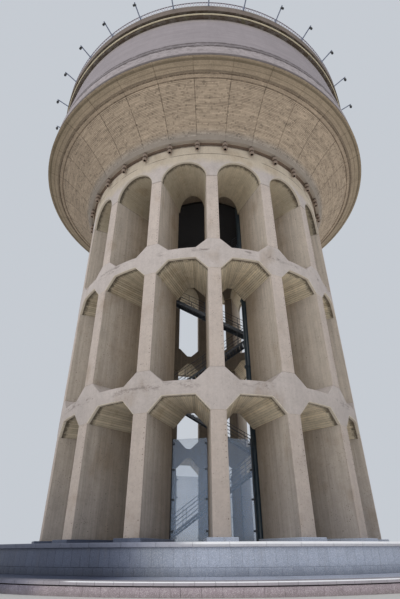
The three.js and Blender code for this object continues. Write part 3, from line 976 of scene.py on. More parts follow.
def clean(mesh: bpy.types.Mesh, weld: float, outward: bool) -> None:
    """Joins a mesh's points that meet, and turns its faces outwards.

    Args:
        mesh: The mesh.
        weld: How near two points have to be to become one, or zero.
        outward: Whether the faces are turned outwards, which needs a closed shape.
    """
    solid = bmesh.new()
    solid.from_mesh(mesh)
    if weld:
        bmesh.ops.remove_doubles(solid, verts=solid.verts, dist=weld)
    if outward:
        bmesh.ops.recalc_face_normals(solid, faces=solid.faces)
    solid.to_mesh(mesh)
    solid.free()


def placed(name: str, data: bpy.types.ID) -> bpy.types.Object:
    """Puts a mesh, a camera or a light into the scene."""
    made = bpy.data.objects.new(name, data)
    bpy.context.scene.collection.objects.link(made)
    return made


class Draft:
    """Faces that are gathered before they become one mesh."""

    def __init__(self) -> None:
        """Starts empty."""
        self.points: list[Vector] = []
        self.faces: list[list[int]] = []
        self.flat: list[list[Pair]] = []
        self.zones: list[Zone] = []

    def face(self, corners: Sequence[Vector], flat: Sequence[Pair] | None = None,
             zone: Zone = Zone.FACE) -> None:
        """Adds one face.

        Args:
            corners: Its corners.
            flat: Its corners on the flat map, or zeros where there are none.
            zone: What the face is.
        """
        start = len(self.points)
        self.points.extend(corners)
        self.faces.append(list(range(start, start + len(corners))))
        self.flat.append(list(flat) if flat else [(0.0, 0.0)] * len(corners))
        self.zones.append(zone)

    def sheet(self, rows: Sequence[Sequence[Vector]], flats: Sequence[Sequence[Pair]] | None = None,
              zones: Sequence[Zone] | Zone = Zone.FACE) -> None:
        """Adds the faces between rows of points.

        Args:
            rows: Rows of the same number of points.
            flats: The same rows on the flat map.
            zones: One zone for all, or one for each gap between rows.
        """
        for i in range(len(rows) - 1):
            zone = zones if isinstance(zones, Zone) else zones[i]
            for j in range(len(rows[i]) - 1):
                cells = ((i, j), (i, j + 1), (i + 1, j + 1), (i + 1, j))
                self.face([rows[a][b] for a, b in cells],
                          [flats[a][b] for a, b in cells] if flats else None, zone)

    def bar(self, sections: Sequence[list[Vector]]) -> None:
        """Adds a closed bar that runs through its sections."""
        self.sheet([section + section[:1] for section in sections])
        self.face(sections[0])
        self.face(sections[-1][::-1])

    def block(self, x: Pair, y: Pair, z: Pair, bevel: float = 0.0, turn: Matrix | None = None,
              edge: Zone = Zone.FACE) -> None:
        """Adds a block with chamfered edges.

        Args:
            x: Where it starts and ends along x.
            y: The same along y.
            z: The same along z.
            bevel: The chamfer's width.
            turn: Where the block goes once it is made.
            edge: What its faces of less than a square metre are, on a sheet without a flat map.
        """
        solid = bmesh.new()
        bmesh.ops.create_cube(solid, size=1.0)
        low, high = (Vector(corner) for corner in zip(x, y, z))
        size, middle = high - low, (high + low) / 2
        for vert in solid.verts:
            vert.co = Vector([vert.co[i] * size[i] + middle[i] for i in range(3)])
        if bevel > 0:
            bmesh.ops.bevel(solid, geom=list(solid.edges), offset=bevel, segments=1, affect="EDGES")
        for face in solid.faces:
            corners = [turn @ loop.vert.co if turn else loop.vert.co.copy() for loop in face.loops]
            flat = [(corner.x, corner.z) for corner in corners] if edge is Zone.FACE else None
            self.face(corners, flat, Zone.FACE if face.calc_area() > 1.0 else edge)
        solid.free()

    def tube(self, path: Sequence[Vector], radius: float, sides: int = 8) -> None:
        """Adds a closed round tube along a path.

        Args:
            path: The points of its middle line.
            radius: Its radius.
            sides: How many sides it has.
        """
        rings: list[list[Vector]] = []
        for i, point in enumerate(path):
            before = path[max(i - 1, 0)]
            after = path[min(i + 1, len(path) - 1)]
            ahead = (after - before).normalized()
            up = Vector((0, 0, 1)) if abs(ahead.z) < 0.9 else Vector((1, 0, 0))
            right = ahead.cross(up).normalized()
            top = right.cross(ahead)
            rings.append([point + radius * (math.cos(t) * right + math.sin(t) * top)
                          for t in whole_turn(sides)])
        for first, second in zip(rings, rings[1:]):
            for k in range(sides):
                m = (k + 1) % sides
                self.face([first[k], first[m], second[m], second[k]])
        self.face(rings[0][::-1])
        self.face(rings[-1])

    def lathe(self, profile: Sequence[Pair], angles: Sequence[float],
              zones: Sequence[Zone] | Zone = Zone.FACE, centre: Vector = Vector((0, 0, 0)),
              push: Callable[[int, int], float] | None = None, around: float = 1.0,
              along: Sequence[float] | None = None) -> None:
        """Adds a turned shape.

        Args:
            profile: (radius, height) points. The first and last meet, or both lie on the axis.
            angles: The angles of its columns, which go once round without the last one.
            zones: One zone for all, or one for each step of the profile.
            centre: Where its axis is.
            push: How far a point of the profile at a column moves against the outward side.
            around: What the flat map's first number grows by in one turn.
            along: The flat map's second number at each point, where it isn't the length so far.
        """
        lengths = run_of(profile) if along is None else along

        def corner(i: int, j: int) -> Vector:
            """The point of the profile at a column.

            Args:
                i: The point's number.
                j: The column's number.

            Returns:
                The point.
            """
            radius, height = profile[i]
            amount = push(i, j) if push else 0.0
            if amount and 0 < i < len(profile) - 1:
                (r0, z0), (r1, z1) = profile[i - 1], profile[i + 1]
                size = math.hypot(r1 - r0, z1 - z0)
                radius, height = radius - (z1 - z0) / size * amount, height + (r1 - r0) / size * amount
            return centre + polar(radius, angles[j], height)

        columns = len(angles)
        for j in range(columns):
            k = (j + 1) % columns
            low, high = angles[j], angles[k] if k else angles[0] + math.tau
            for i in range(len(profile) - 1):
                zone = zones if isinstance(zones, Zone) else zones[i]
                cells = [(i, j, low), (i, k, high), (i + 1, k, high), (i + 1, j, low)]
                if profile[i][0] < TINY and profile[i + 1][0] < TINY:
                    continue
                if profile[i][0] < TINY:
                    cells = cells[1:]
                elif profile[i + 1][0] < TINY:
                    cells = cells[:3]
                flats = [(around * angle / math.tau, lengths[a]) for a, _, angle in cells]
                self.face([corner(a, b) for a, b, _ in cells], flats, zone)

    @staticmethod
    def turned(profile: Sequence[Pair], columns: int, zones: Sequence[Zone] | Zone = Zone.FACE,
               **more: Any) -> "Draft":
        """A draft of one turned shape.

        Args:
            profile: Its (radius, height) points.
            columns: How many columns it has.
            zones: Its zones.
            more: What else the lathe is told.

        Returns:
            The draft.
        """
        draft = Draft()
        draft.lathe(profile, whole_turn(columns), zones, **more)
        return draft

    def done(self, name: str, material: bpy.types.Material | None = None, sharp: float = 32.0,
             outward: bool = True) -> bpy.types.Object:
        """Makes the object.

        Args:
            name: The piece's name.
            material: Its finish.
            sharp: The angle in degrees from which an edge stays sharp.
            outward: Whether the faces are turned outwards, which needs a closed shape.

        Returns:
            The object, in the scene.
        """
        mesh = bpy.data.meshes.new(name)
        mesh.from_pydata(self.points, [], self.faces)
        flat = mesh.uv_layers.new(name="UVMap")
        flat.data.foreach_set("uv", [n for face in self.flat for pair in face for n in pair])
        zone = mesh.attributes.new("zone", "FLOAT_COLOR", "CORNER")
        values = [n for face, kind in zip(self.faces, self.zones) for _ in face for n in kind.value]
        zone.data.foreach_set("color", values)
        clean(mesh, WELD, outward)
        mesh.polygons.foreach_set("use_smooth", [True] * len(mesh.polygons))
        mesh.set_sharp_from_angle(angle=math.radians(sharp))
        if material:
            mesh.materials.append(material)
        return placed(name, mesh)

    def fit(self, name: str, material: bpy.types.Material, slot: str, *nodes: str,
            sharp: float = 32.0) -> None:
        """Makes the object and fixes it to the tower.

        Args:
            name: The piece's name.
            material: Its finish.
            slot: The record's material slot.
            nodes: The solids that it stands for.
            sharp: The angle in degrees from which an edge stays sharp.
        """
        fitted(self.done(name, material, sharp), slot, *nodes)


def fitted(piece: bpy.types.Object, slot: str, *nodes: str) -> bpy.types.Object:
    """Fixes a finished piece to the tower.

    Args:
        piece: The piece.
        slot: The record's material slot; not used.
        nodes: The solids that it stands for.

    Returns:
        The piece.
    """
    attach(piece, BODY)
    if nodes:
        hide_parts(*nodes)
    log.info("%s: %d faces", piece.name, len(piece.data.polygons))
    return piece


# Repeats


class Pattern(Bench):
    """A Geometry Nodes tree with named inputs, which repeats a unit and joins the copies."""

    kinds = {int: "Int", float: "Float", tuple: "Vector"}

    def __init__(self, name: str, **sizes: Any) -> None:
        """Makes the tree with its inputs.

        Args:
            name: The tree's name.
            sizes: The inputs by name, each with its value.
        """
        super().__init__(bpy.data.node_groups.new(name, "GeometryNodeTree"))
        self.socket("Unit", "Geometry")
        for label, value in {"Count": 2, "Weld": 0.0, **sizes}.items():
            self.socket(label, self.kinds[type(value)]).default_value = value
        self.socket("Material", "Material")
        self.socket("Whole", "Geometry", "OUTPUT")
        self.entry = self.tree.nodes.new("NodeGroupInput")
        self.index = self.node("GeometryNodeInputIndex")

    def socket(self, label: str, kind: str, way: str = "INPUT") -> bpy.types.NodeTreeInterfaceSocket:
        """Adds a socket to the tree's interface."""
        return self.tree.interface.new_socket(label, in_out=way, socket_type="NodeSocket" + kind)

    def given(self, label: str) -> Wire:
        """The wire of a named input."""
        return Wire(self, self.entry.outputs[label])

    def upright(self, angle: Wire) -> Wire:
        """The rotation by an angle round an upright axis."""
        return self.node("FunctionNodeEulerToRotation", {}, {
            0: self.node("ShaderNodeCombineXYZ", {}, {2: angle})})

    def close(self, spot: Wire | None, rotation: Wire | None, seed: int) -> None:
        """Puts the unit on every point, gives each copy a tone, and ends the tree.

        Args:
            spot: Where each copy goes, if it isn't the origin.
            rotation: How each copy is turned, if it is.
            seed: The seed of the tones.
        """
        at = {"Position": spot} if spot else {}
        turned = {"Rotation": rotation} if rotation else {}
        points = self.node("GeometryNodePoints", {}, {"Count": self.given("Count"), **at})
        copies = self.node("GeometryNodeInstanceOnPoints", {}, {
            "Points": points, "Instance": self.given("Unit"), **turned})
        chance = self.node("FunctionNodeRandomValue", {"data_type": "FLOAT"}, {"Seed": seed}, 1)
        toned = self.node("GeometryNodeStoreNamedAttribute", {"data_type": "FLOAT", "domain": "INSTANCE"},
                          {"Geometry": copies, "Name": "tone", "Value": chance})
        real = self.node("GeometryNodeRealizeInstances", {}, {"Geometry": toned})
        welded = self.node("GeometryNodeMergeByDistance", {}, {
            "Geometry": real, "Distance": self.given("Weld")})
        dressed = self.node("GeometryNodeSetMaterial", {}, {
            "Geometry": welded, "Material": self.given("Material")})
        way_out = self.tree.nodes.new("NodeGroupOutput")
        self.tree.links.new(dressed.socket, way_out.inputs["Whole"])

    def repeat(self, name: str, unit: bpy.types.Object, material: bpy.types.Material,
               **sizes: Any) -> bpy.types.Object:
        """Runs the tree on a unit and keeps the result as a plain mesh.

        Args:
            name: The piece's name.
            unit: The unit, which becomes the piece.
            material: The finish.
            sizes: Values for the named inputs.

        Returns:
            The piece.
        """
        modifier = unit.modifiers.new("repeat", "NODES")
        modifier.node_group = self.tree
        values = {**sizes, "Material": material}
        for item in self.tree.interface.items_tree:
            if item.in_out == "INPUT" and item.name in values:
                modifier[item.identifier] = values[item.name]
        bpy.context.view_layer.update()
        graph = bpy.context.evaluated_depsgraph_get()
        mesh = bpy.data.meshes.new_from_object(unit.evaluated_get(graph), preserve_all_data_layers=True,
                                               depsgraph=graph)
        unit.modifiers.remove(modifier)
        unit.data = mesh
        unit.name = mesh.name = name
        return unit

    def fit(self, name: str, unit: Draft, material: bpy.types.Material, slot: str, *nodes: str,
            sharp: float = 32.0, **sizes: Any) -> None:
        """Repeats a unit and fixes the piece to the tower.

        Args:
            name: The piece's name.
            unit: The unit.
            material: The finish.
            slot: The record's material slot.
            nodes: The solids that it stands for.
            sharp: The angle in degrees from which an edge stays sharp.
            sizes: Values for the named inputs.
        """
        fitted(self.repeat(name, unit.done("unit", None, sharp), material, **sizes), slot, *nodes)


class Rounds(Pattern):
    """Copies at equal angles round the tower's axis."""

    def __init__(self) -> None:
        """Builds the tree."""
        super().__init__("round the axis", Turn=0.0)
        angle = self.index * math.tau / self.given("Count") + self.given("Turn")
        self.close(None, self.upright(angle), seed=11)


class Rows(Pattern):
    """Copies in a straight row."""

    def __init__(self) -> None:
        """Builds the tree."""
        super().__init__("in a row", Start=(0.0, 0.0, 0.0), Step=(1.0, 0.0, 0.0))
        self.close(self.given("Start") + self.given("Step") * self.index, None, seed=5)


class Orbits(Pattern):
    """Copies at equal angles round an upright axis that stands anywhere."""

    def __init__(self) -> None:
        """Builds the tree."""
        super().__init__("round a centre", Radius=0.2, Centre=(0.0, 0.0, 0.0))
        radius = self.given("Radius")
        angle = self.index * math.tau / self.given("Count")
        spot = self.node("ShaderNodeCombineXYZ", {}, {0: angle.cosine() * radius, 1: angle.sine() * radius})
        self.close(spot + self.given("Centre"), self.upright(angle), seed=3)


@dataclass
class Workshop:
    """What every sub-assembly is built with."""

    paints: Palette = field(default_factory=Palette)
    rounds: Rounds = field(default_factory=Rounds)
    rows: Rows = field(default_factory=Rows)
    orbits: Orbits = field(default_factory=Orbits)


# Sub-assemblies


@dataclass
class Assembly:
    """A part of the tower, which is built with the workshop."""

    shop: Workshop

    @property
    def paints(self) -> Palette:
        """Every finish."""
        return self.shop.paints

    def ring(self, name: str, unit: Draft, material: bpy.types.Material, slot: str, *nodes: str,
             **more: Any) -> None:
        """Repeats a unit round the tower, once in each bay if no count is given."""
        self.shop.rounds.fit(name, unit, material, slot, *nodes, **{"Count": BAYS, **more})


@dataclass
class Podium(Assembly):
    """The stepped granite podium under the shaft."""

    joint: float = 0.004
    eased: float = 0.004
    riser_radius: float = 14.45
    riser_top: float = 0.262
    nosing_bottom: float = 0.296
    nosing_radius: float = 14.5
    nosing_top: float = 0.402
    nosing_inner: float = 14.06
    wall_radius: float = 12.97
    step_top: float = 0.462
    wall_lap: float = 0.708
    wall_top: float = 1.307
    coping_radius: float = 13.06
    coping_inner: float = 12.3
    coping_nose: float = 0.045
    top: float = 1.466
    slab_thickness: float = 0.05
    mortar_depth: float = 0.007
    core_columns: int = 256
    mortar_columns: int = 416
    floor_columns: int = 128
    slabs: int = 144
    wall_slabs: int = 208
    copings: int = 64
    floor_courses: tuple[tuple[float, float, int], ...] = ((11.4, 12.296, 112), (10.42, 11.4, 96))
    floor_joints: tuple[float, ...] = (10.42, 9.6, 8.7, 7.8, 6.9, 6.0, 4.9, 3.8, 2.6, 1.3)
    pad_half: float = 0.645
    pad_inner: float = 6.87
    pad_outer: float = 10.35
    pad_top: float = 1.66

    def slab_unit(self, count: int, profile: Sequence[Pair]) -> Draft:
        """One slab of a round course, centred on angle zero.

        Args:
            count: How many slabs go round.
            profile: Its closed section, (radius, height) points without the first one again.

        Returns:
            The slab.
        """
        outer = max(radius for radius, _ in profile)
        half = math.pi / count - self.joint / outer
        ease = self.eased / outer
        angles = [-half, *spread(-half + ease, half - ease, 3), half]
        middle_r, middle_z = (sum(values) / len(profile) for values in zip(*profile))

        def section(angle: float, inset: float) -> list[Vector]:
            """The section at an angle.

            Args:
                angle: The angle.
                inset: How far the section is drawn in towards its middle.

            Returns:
                Its points.
            """
            ring = []
            for radius, height in profile:
                pull = inset / max(math.hypot(radius - middle_r, height - middle_z), TINY)
                ring.append(polar(radius + (middle_r - radius) * pull, angle,
                                  height + (middle_z - height) * pull))
            return ring

        rings = [section(angle, self.eased if i in (0, len(angles) - 1) else 0.0)
                 for i, angle in enumerate(angles)]
        draft = Draft()
        draft.bar(rings)
        return draft

    def course(self, name: str, count: int, profile: Sequence[Pair], material: bpy.types.Material,
               turn: float, *nodes: str, slot: str = "granite") -> None:
        """Lays a round course of slabs.

        Args:
            name: The piece's name.
            count: How many slabs go round.
            profile: The slabs' section.
            material: Their finish.
            turn: Where the first slab is, as a share of a slab.
            nodes: The solids that the course stands for.
            slot: The record's material slot.
        """
        self.ring(name, self.slab_unit(count, profile), material, slot, *nodes, Count=count,
                  Turn=turn * math.tau / count)

    def build_step(self) -> None:
        """The riser slabs, the nosing with a near-black bedding below it that paints the shadow under the
        nosing, and the tread.
        """
        paints = self.paints
        riser, nose, inner = self.riser_radius, self.nosing_radius, self.nosing_inner
        low, top = self.nosing_bottom, self.nosing_top
        core = [(0.0, 0.0), (riser - self.slab_thickness, 0.0), (riser - self.slab_thickness, low),
                (inner, low + 0.02), (inner, top - 0.03), (self.wall_radius - 0.06, self.step_top - 0.05),
                (0.0, self.step_top - 0.05)]
        Draft.turned(core, self.core_columns).fit("step_bedding", paints.shadow_bedding, "granite", "podium_step")
        back = riser - self.slab_thickness + 0.002
        self.course("step_risers", self.slabs, [
            (back, 0.0), (riser - 0.004, 0.0), (riser, 0.006), (riser, self.riser_top - 0.006),
            (riser - 0.006, self.riser_top), (back, self.riser_top)], paints.riser, 0.37)
        rise = (self.step_top - top) / (nose - self.wall_radius)
        seam = top + rise * (nose - inner)
        self.course("step_nosing", self.slabs, [
            (inner + 0.004, low), (nose - 0.008, low), (nose, low + 0.008), (nose, top - 0.02),
            (nose - 0.006, top - 0.006), (nose - 0.02, top + rise * 0.02), (inner + 0.004, seam)],
            paints.nosing, 0.05)
        self.course("step_tread", self.slabs, [
            (self.wall_radius - 0.03, self.step_top - 0.08), (inner - 0.004, seam - 0.08),
            (inner - 0.004, seam), (self.wall_radius - 0.03, self.step_top)], paints.tread, 0.5)

    def build_wall(self) -> None:
        """The drum's wall: a low course of slabs and a tall one over it, before their mortar."""
        paints, radius = self.paints, self.wall_radius
        face, low, high = radius - self.mortar_depth, self.step_top - 0.04, self.wall_top + 0.005
        mortar = Draft.turned([(0.0, low), (face, low), (face, high), (0.0, high)], self.mortar_columns)
        mortar.fit("wall_backing", paints.mortar, "granite", "podium_wall")
        back = radius - self.slab_thickness + 0.002
        for name, low, high, turn in (
                ("wall_lower_slabs", self.step_top + 0.004, self.wall_lap - 0.005, 0.55),
                ("wall_upper_slabs", self.wall_lap + 0.005, self.wall_top - 0.002, 0.1)):
            self.course(name, self.wall_slabs, [
                (back, low), (radius - 0.004, low), (radius, low + 0.004), (radius, high - 0.004),
                (radius - 0.004, high), (back, high)], paints.granite, turn)

    def build_coping(self) -> None:
        """The rounded coping stones."""
        nose, low = self.coping_nose, self.wall_top + 0.001
        outline = [(self.coping_inner + 0.004, low), (self.coping_radius - 0.012, low),
                   (self.coping_radius - 0.002, self.wall_top + 0.012)]
        outline += [(self.coping_radius - nose + nose * math.cos(turn),
                     self.top - nose + nose * math.sin(turn)) for turn in spread(0, math.pi / 2, 6)]
        outline.append((self.coping_inner + 0.004, self.top))
        self.course("coping_stones", self.copings, outline, self.paints.coping, 0.5, "podium_coping",
                    slot="pale_stone")

    def build_floor(self) -> None:
        """The paved floor: a plain middle with joints, two outer courses of slabs, and the piers' pads."""
        paints, top = self.paints, self.top
        bed, edge, court = self.wall_top + 0.002, self.coping_inner - 0.004, self.floor_joints[0]
        profile: list[Pair] = [(0.0, bed), (edge, bed), (edge, top - 0.06), (court, top - 0.06)]
        for radius, following in zip(self.floor_joints, (*self.floor_joints[1:], 0.0)):
            profile += [(radius - 0.004, top - 0.012), (radius - 0.008, top)]
            if following:
                profile.append((following + 0.008, top))
        profile.append((0.0, top))
        middle = Draft.turned(profile, self.floor_columns)
        middle.fit("floor_middle", paints.stone, "pale_stone", "podium_floor")
        for i, (inner, outer, count) in enumerate(self.floor_courses):
            low, high = inner + 0.004, outer - 0.003
            self.course(f"floor_course_{i + 1}", count, [
                (low, top - 0.07), (high, top - 0.07), (high, top - 0.003), (high - 0.003, top),
                (low + 0.003, top), (low, top - 0.003)], paints.stone, 0.5 * i, slot="pale_stone")
        pad = Draft()
        pad.block(span(0, self.pad_half), (-self.pad_outer, -self.pad_inner), (top - 0.05, self.pad_top),
                  0.018)
        self.ring("pier_pads", pad, paints.granite, "granite", Turn=BAY / 2)

    def build(self) -> None:
        """Builds the podium from the ground up."""
        self.build_step()
        self.build_wall()
        self.build_coping()
        self.build_floor()


@dataclass
class Storey:
    """The levels of one storey's bays. The seam is the formwork's on the piers' sides."""

    foot: float
    neck: float
    seam_share: float = 0.0
    lifts: tuple[float, ...] = ()


@dataclass
class Shaft(Assembly):
    """Sixteen pier walls, tied by a ring of cast nodes between each two storeys and by arches on top."""

    radius: float = 10.0
    inner: float = 6.87
    belt: float = 6.6
    pier_half: float = 0.39
    chamfer: float = 0.73
    head_drop: float = 0.78
    sill_rise: float = 0.67
    heads: Pair = (7.732, 16.132)
    sills: Pair = (8.494, 16.91)
    springing: float = 23.18
    arch_rise: float = 1.51
    top: float = 26.2
    arris: float = 0.035
    lip_radius: float = 9.83
    recess: float = 0.03
    joint: float = 0.009
    storeys: tuple[Storey, ...] = (
        Storey(1.66, 6.952, 0.0, (4.35,)),
        Storey(9.164, 15.352, 0.0, (13.92,)),
        Storey(17.58, 23.18, 0.60),
    )

    def on_round(self, radius: float, share: Callable[[float], float]) -> Pair:
        """The point of a circle whose x is worked out from half of the clear width between two piers there.

        Args:
            radius: The circle's radius.
            share: Gives x from half of the clear width.

        Returns:
            The point's x and its distance along the bay.
        """
        distance, x = radius, 0.0
        for _ in range(12):
            x = share(distance * math.tan(BAY / 2) - self.pier_half / math.cos(BAY / 2))
            distance = math.sqrt(max(radius * radius - x * x, TINY))
        return x, distance

    def pier_section(self, inset: float, seam: float) -> tuple[list[Pair], list[Zone]]:
        """A pier's section, from the outer face round to the inner end and back.

        Args:
            inset: How far it is drawn in, for the joints between pours.
            seam: Where the upright formwork seam is on its sides, as a share of their depth, or zero.

        Returns:
            The closed section's (x, distance) points, and the zone of each side after a point.
        """
        half, outer, edge = self.pier_half - inset, self.radius - inset, self.arris
        points = [(x, math.sqrt(outer * outer - x * x)) for x in
                  (-half + edge, -half / 2, 0.0, half / 2, half - edge)]
        depth = math.sqrt(outer * outer - half * half)
        points += [(half - edge * 0.28, depth - edge * 0.30), (half, depth - edge)]
        side: list[Pair] = []
        if seam:
            at = depth - (depth - self.inner) * seam
            side += [(half, at + 0.014), (half - 0.009, at), (half, at - 0.014)]
        side += [(half, self.inner + inset + 0.04), (half - 0.04, self.inner + inset)]
        points += side + [(-x, y) for x, y in reversed(side)]
        points += [(-half, depth - edge), (-(half - edge * 0.28), depth - edge * 0.30)]
        long_side = [Zone.SIDE] * (len(side) - 1)
        # The inner end's chamfers take the ring zone, whose paler colour paints a highlight along the piers'
        # inner arrises
        zones = [Zone.FACE] * 6 + long_side + [Zone.RING, Zone.SIDE, Zone.RING] + long_side
        return points, zones + [Zone.FACE] * 2

    def pier_unit(self, storey: Storey) -> Draft:
        """One pour of a pier, centred on -Y.

        Args:
            storey: The storey's levels.

        Returns:
            The unit.
        """
        draft = Draft()
        levels = [(storey.foot + 0.001, self.joint), (storey.foot + 0.013, 0.0)]
        for lift in storey.lifts:
            levels += [(lift - 0.01, 0.0), (lift, self.joint * 0.6), (lift + 0.01, 0.0)]
        levels += [(storey.neck - 0.013, 0.0), (storey.neck - 0.001, self.joint)]
        rings: list[list[Vector]] = []
        for height, inset in levels:
            section, _ = self.pier_section(inset, storey.seam_share)
            rings.append([Vector((x, -y, height)) for x, y in section])
        base, zones = self.pier_section(0.0, storey.seam_share)
        for lower, upper in zip(rings, rings[1:]):
            for k, zone in enumerate(zones):
                m = (k + 1) % len(zones)
                # The flat map runs along the pier's depth on its sides, and across it elsewhere
                axis = 1 if zone is Zone.SIDE else 0
                u0, u1 = base[k][axis], base[m][axis]
                z0, z1 = lower[k].z, upper[k].z
                draft.face([lower[k], lower[m], upper[m], upper[k]], [(u0, z0), (u1, z0), (u1, z1), (u0, z1)],
                           zone)
        draft.face(rings[0][::-1], None, Zone.SIDE)
        draft.face(rings[-1], None, Zone.SIDE)
        return draft

    def build_piers(self) -> None:
        """The pier walls, a pour for each storey."""
        for i, storey in enumerate(self.storeys):
            nodes = [f"pier_{n + 1:02d}" for n in range(BAYS)] if i == 0 else []
            self.ring(f"pier_pours_{i + 1}", self.pier_unit(storey), self.paints.shaft, "shaft_concrete",
                      *nodes, sharp=25.0, Turn=BAY / 2)

    @staticmethod
    def whole_edge(right: list[Vector], radius: float) -> list[Vector]:
        """Carries half of an opening's edge on to the edge of the bay, and mirrors it.

        Args:
            right: The points from the bay's middle to a pier.
            radius: The radius.

        Returns:
            The points from the bay's left edge to its right one.
        """
        last, edge_x = right[-1], radius * math.sin(BAY / 2)
        for share in (0.5, 1.0):
            x = last.x + (edge_x - last.x) * share
            right.append(Vector((x, -math.sqrt(radius * radius - x * x), last.z)))
        return [Vector((-p.x, p.y, p.z)) for p in reversed(right[1:])] + right

    def octagon(self, radius: float, grown: float, level: float, slope: float) -> list[Vector]:
        """The edge of a bay's head or sill at one radius, from one bay edge to the next.

        Args:
            radius: The radius.
            grown: How far the opening is grown there.
            level: The height of the flat part.
            slope: How far the slopes rise from it, less than zero at a head.

        Returns:
            The points from left to right.
        """
        drop, sign = abs(slope), math.copysign(1.0, slope)
        cut = math.hypot(self.chamfer, drop)
        nx, nz = drop / cut, self.chamfer / cut
        kx = nx + self.chamfer * (nz - 1) / drop
        kz = nz - drop * (1 - nx) / self.chamfer
        flat = level - sign * grown
        end = level + slope - sign * grown * kz

        def flat_end(half: float) -> float:
            """Where the flat part ends."""
            return half - self.chamfer + kx * grown

        def on_slope(half: float) -> float:
            """The share of the slope, which ends at the pier."""
            return flat_end(half) + (half + grown - flat_end(half)) * share

        right: list[Vector] = []
        for share in (0.0, 0.33, 0.67, 1.0):
            x, y = self.on_round(radius, lambda half: flat_end(half) * share)
            right.append(Vector((x, -y, flat)))
        for share in (0.25, 0.5, 0.75, 1.0):
            x, y = self.on_round(radius, on_slope)
            right.append(Vector((x, -y, flat + (end - flat) * share)))
        return self.whole_edge(right, radius)

    def arch(self, radius: float, grown: float) -> list[Vector]:
        """The edge of an arch at one radius, from one bay edge to the next.

        Args:
            radius: The radius.
            grown: How far the opening is grown there.

        Returns:
            The points from left to right.
        """
        right: list[Vector] = []
        for turn in spread(math.pi / 2, 0.0, 17):
            x, y = self.on_round(radius, lambda half: (half + grown) * math.cos(turn))
            right.append(Vector((x, -y, self.springing + (self.arch_rise + grown) * math.sin(turn))))
        return self.whole_edge(right, radius)

    def loops(self) -> list[tuple[float, float, float]]:
        """The radii that a ring's edges pass, with how far the opening is grown above and below."""
        lip, inside, recess = self.lip_radius, self.belt, self.recess
        return [
            (self.radius, self.arris, self.arris),
            (self.radius - 0.010, self.arris * 0.35, self.arris * 0.35),
            (self.radius - self.arris, 0.0, 0.0),
            (lip + 0.012, 0.0, 0.0),
            *((radius, recess, 0.0) for radius in (lip, 8.6, self.inner, inside + 0.02)),
            (inside, recess + 0.02, 0.02),
        ]

    def ring_unit(self, below: Callable[[float, float], list[Vector]],
                  above: Callable[[float, float], list[Vector]]) -> bpy.types.Object:
        """One bay of a ring, open at the two bay edges where its neighbours join it.

        Args:
            below: Gives the lower edge at a radius, with the opening below grown by a distance.
            above: Gives the upper edge in the same way.

        Returns:
            The unit.
        """
        lows = [below(radius, grown) for radius, grown, _ in self.loops()]
        highs = [above(radius, grown) for radius, _, grown in self.loops()]
        radii = [radius for radius, _, _ in self.loops()]

        def across(row: list[Vector]) -> list[float]:
            """Measures along an edge.

            Args:
                row: The edge's points.

            Returns:
                How far each point is along it, from its middle.
            """
            lengths = [0.0]
            for first, second in zip(row, row[1:]):
                lengths.append(lengths[-1] + (second - first).length)
            return [length - lengths[-1] / 2 for length in lengths]

        outer, upper = across(lows[0]), across(highs[0])
        foot, head = ([(u, p.z) for u, p in zip(outer, row)] for row in (lows[0], highs[0]))
        draft = Draft()
        draft.sheet([lows[0], highs[0]], [foot, head], Zone.RING)
        draft.sheet([highs[-1], lows[-1]], [head, foot], Zone.SIDE)
        # The outer arris takes the accent zone, which the shaft finish paints pale as a highlight
        lip = [Zone.SOFFIT] * (len(radii) - 4) + [Zone.ACCENT] * 3
        draft.sheet(lows[::-1], [[(u, radius) for u in outer] for radius in radii[::-1]], lip)
        draft.sheet(highs, [[(u, radius) for u in upper] for radius in radii], Zone.RING)
        return draft.done("ring unit", None, 25.0, False)

    def build_rings(self) -> None:
        """The two rings of nodes and the ring of arches."""
        def edge(level: float, slope: float) -> Callable[[float, float], list[Vector]]:
            """Gives the edge of a head or a sill."""
            return lambda radius, grown: self.octagon(radius, grown, level, slope)

        def crown(radius: float, _grown: float) -> list[Vector]:
            """Gives the arcade's upper edge."""
            return [Vector((p.x, p.y, self.top)) for p in self.arch(radius, 0.0)]

        heads = [edge(level, -self.head_drop) for level in self.heads]
        sills = [edge(level, self.sill_rise) for level in self.sills]
        for name, below, above, solid in (
                ("lower_nodes", heads[0], sills[0], "lower_ring"),
                ("middle_nodes", heads[1], sills[1], "middle_ring"),
                ("arches", self.arch, crown, "arcade_ring")):
            made = self.shop.rounds.repeat(name, self.ring_unit(below, above), self.paints.shaft,
                                           Count=BAYS, Weld=0.0008)
            clean(made.data, 0.0, True)
            fitted(made, "shaft_concrete", solid + "_right", solid + "_left")

    def build(self) -> None:
        """Builds the shaft."""
        self.build_piers()
        self.build_rings()


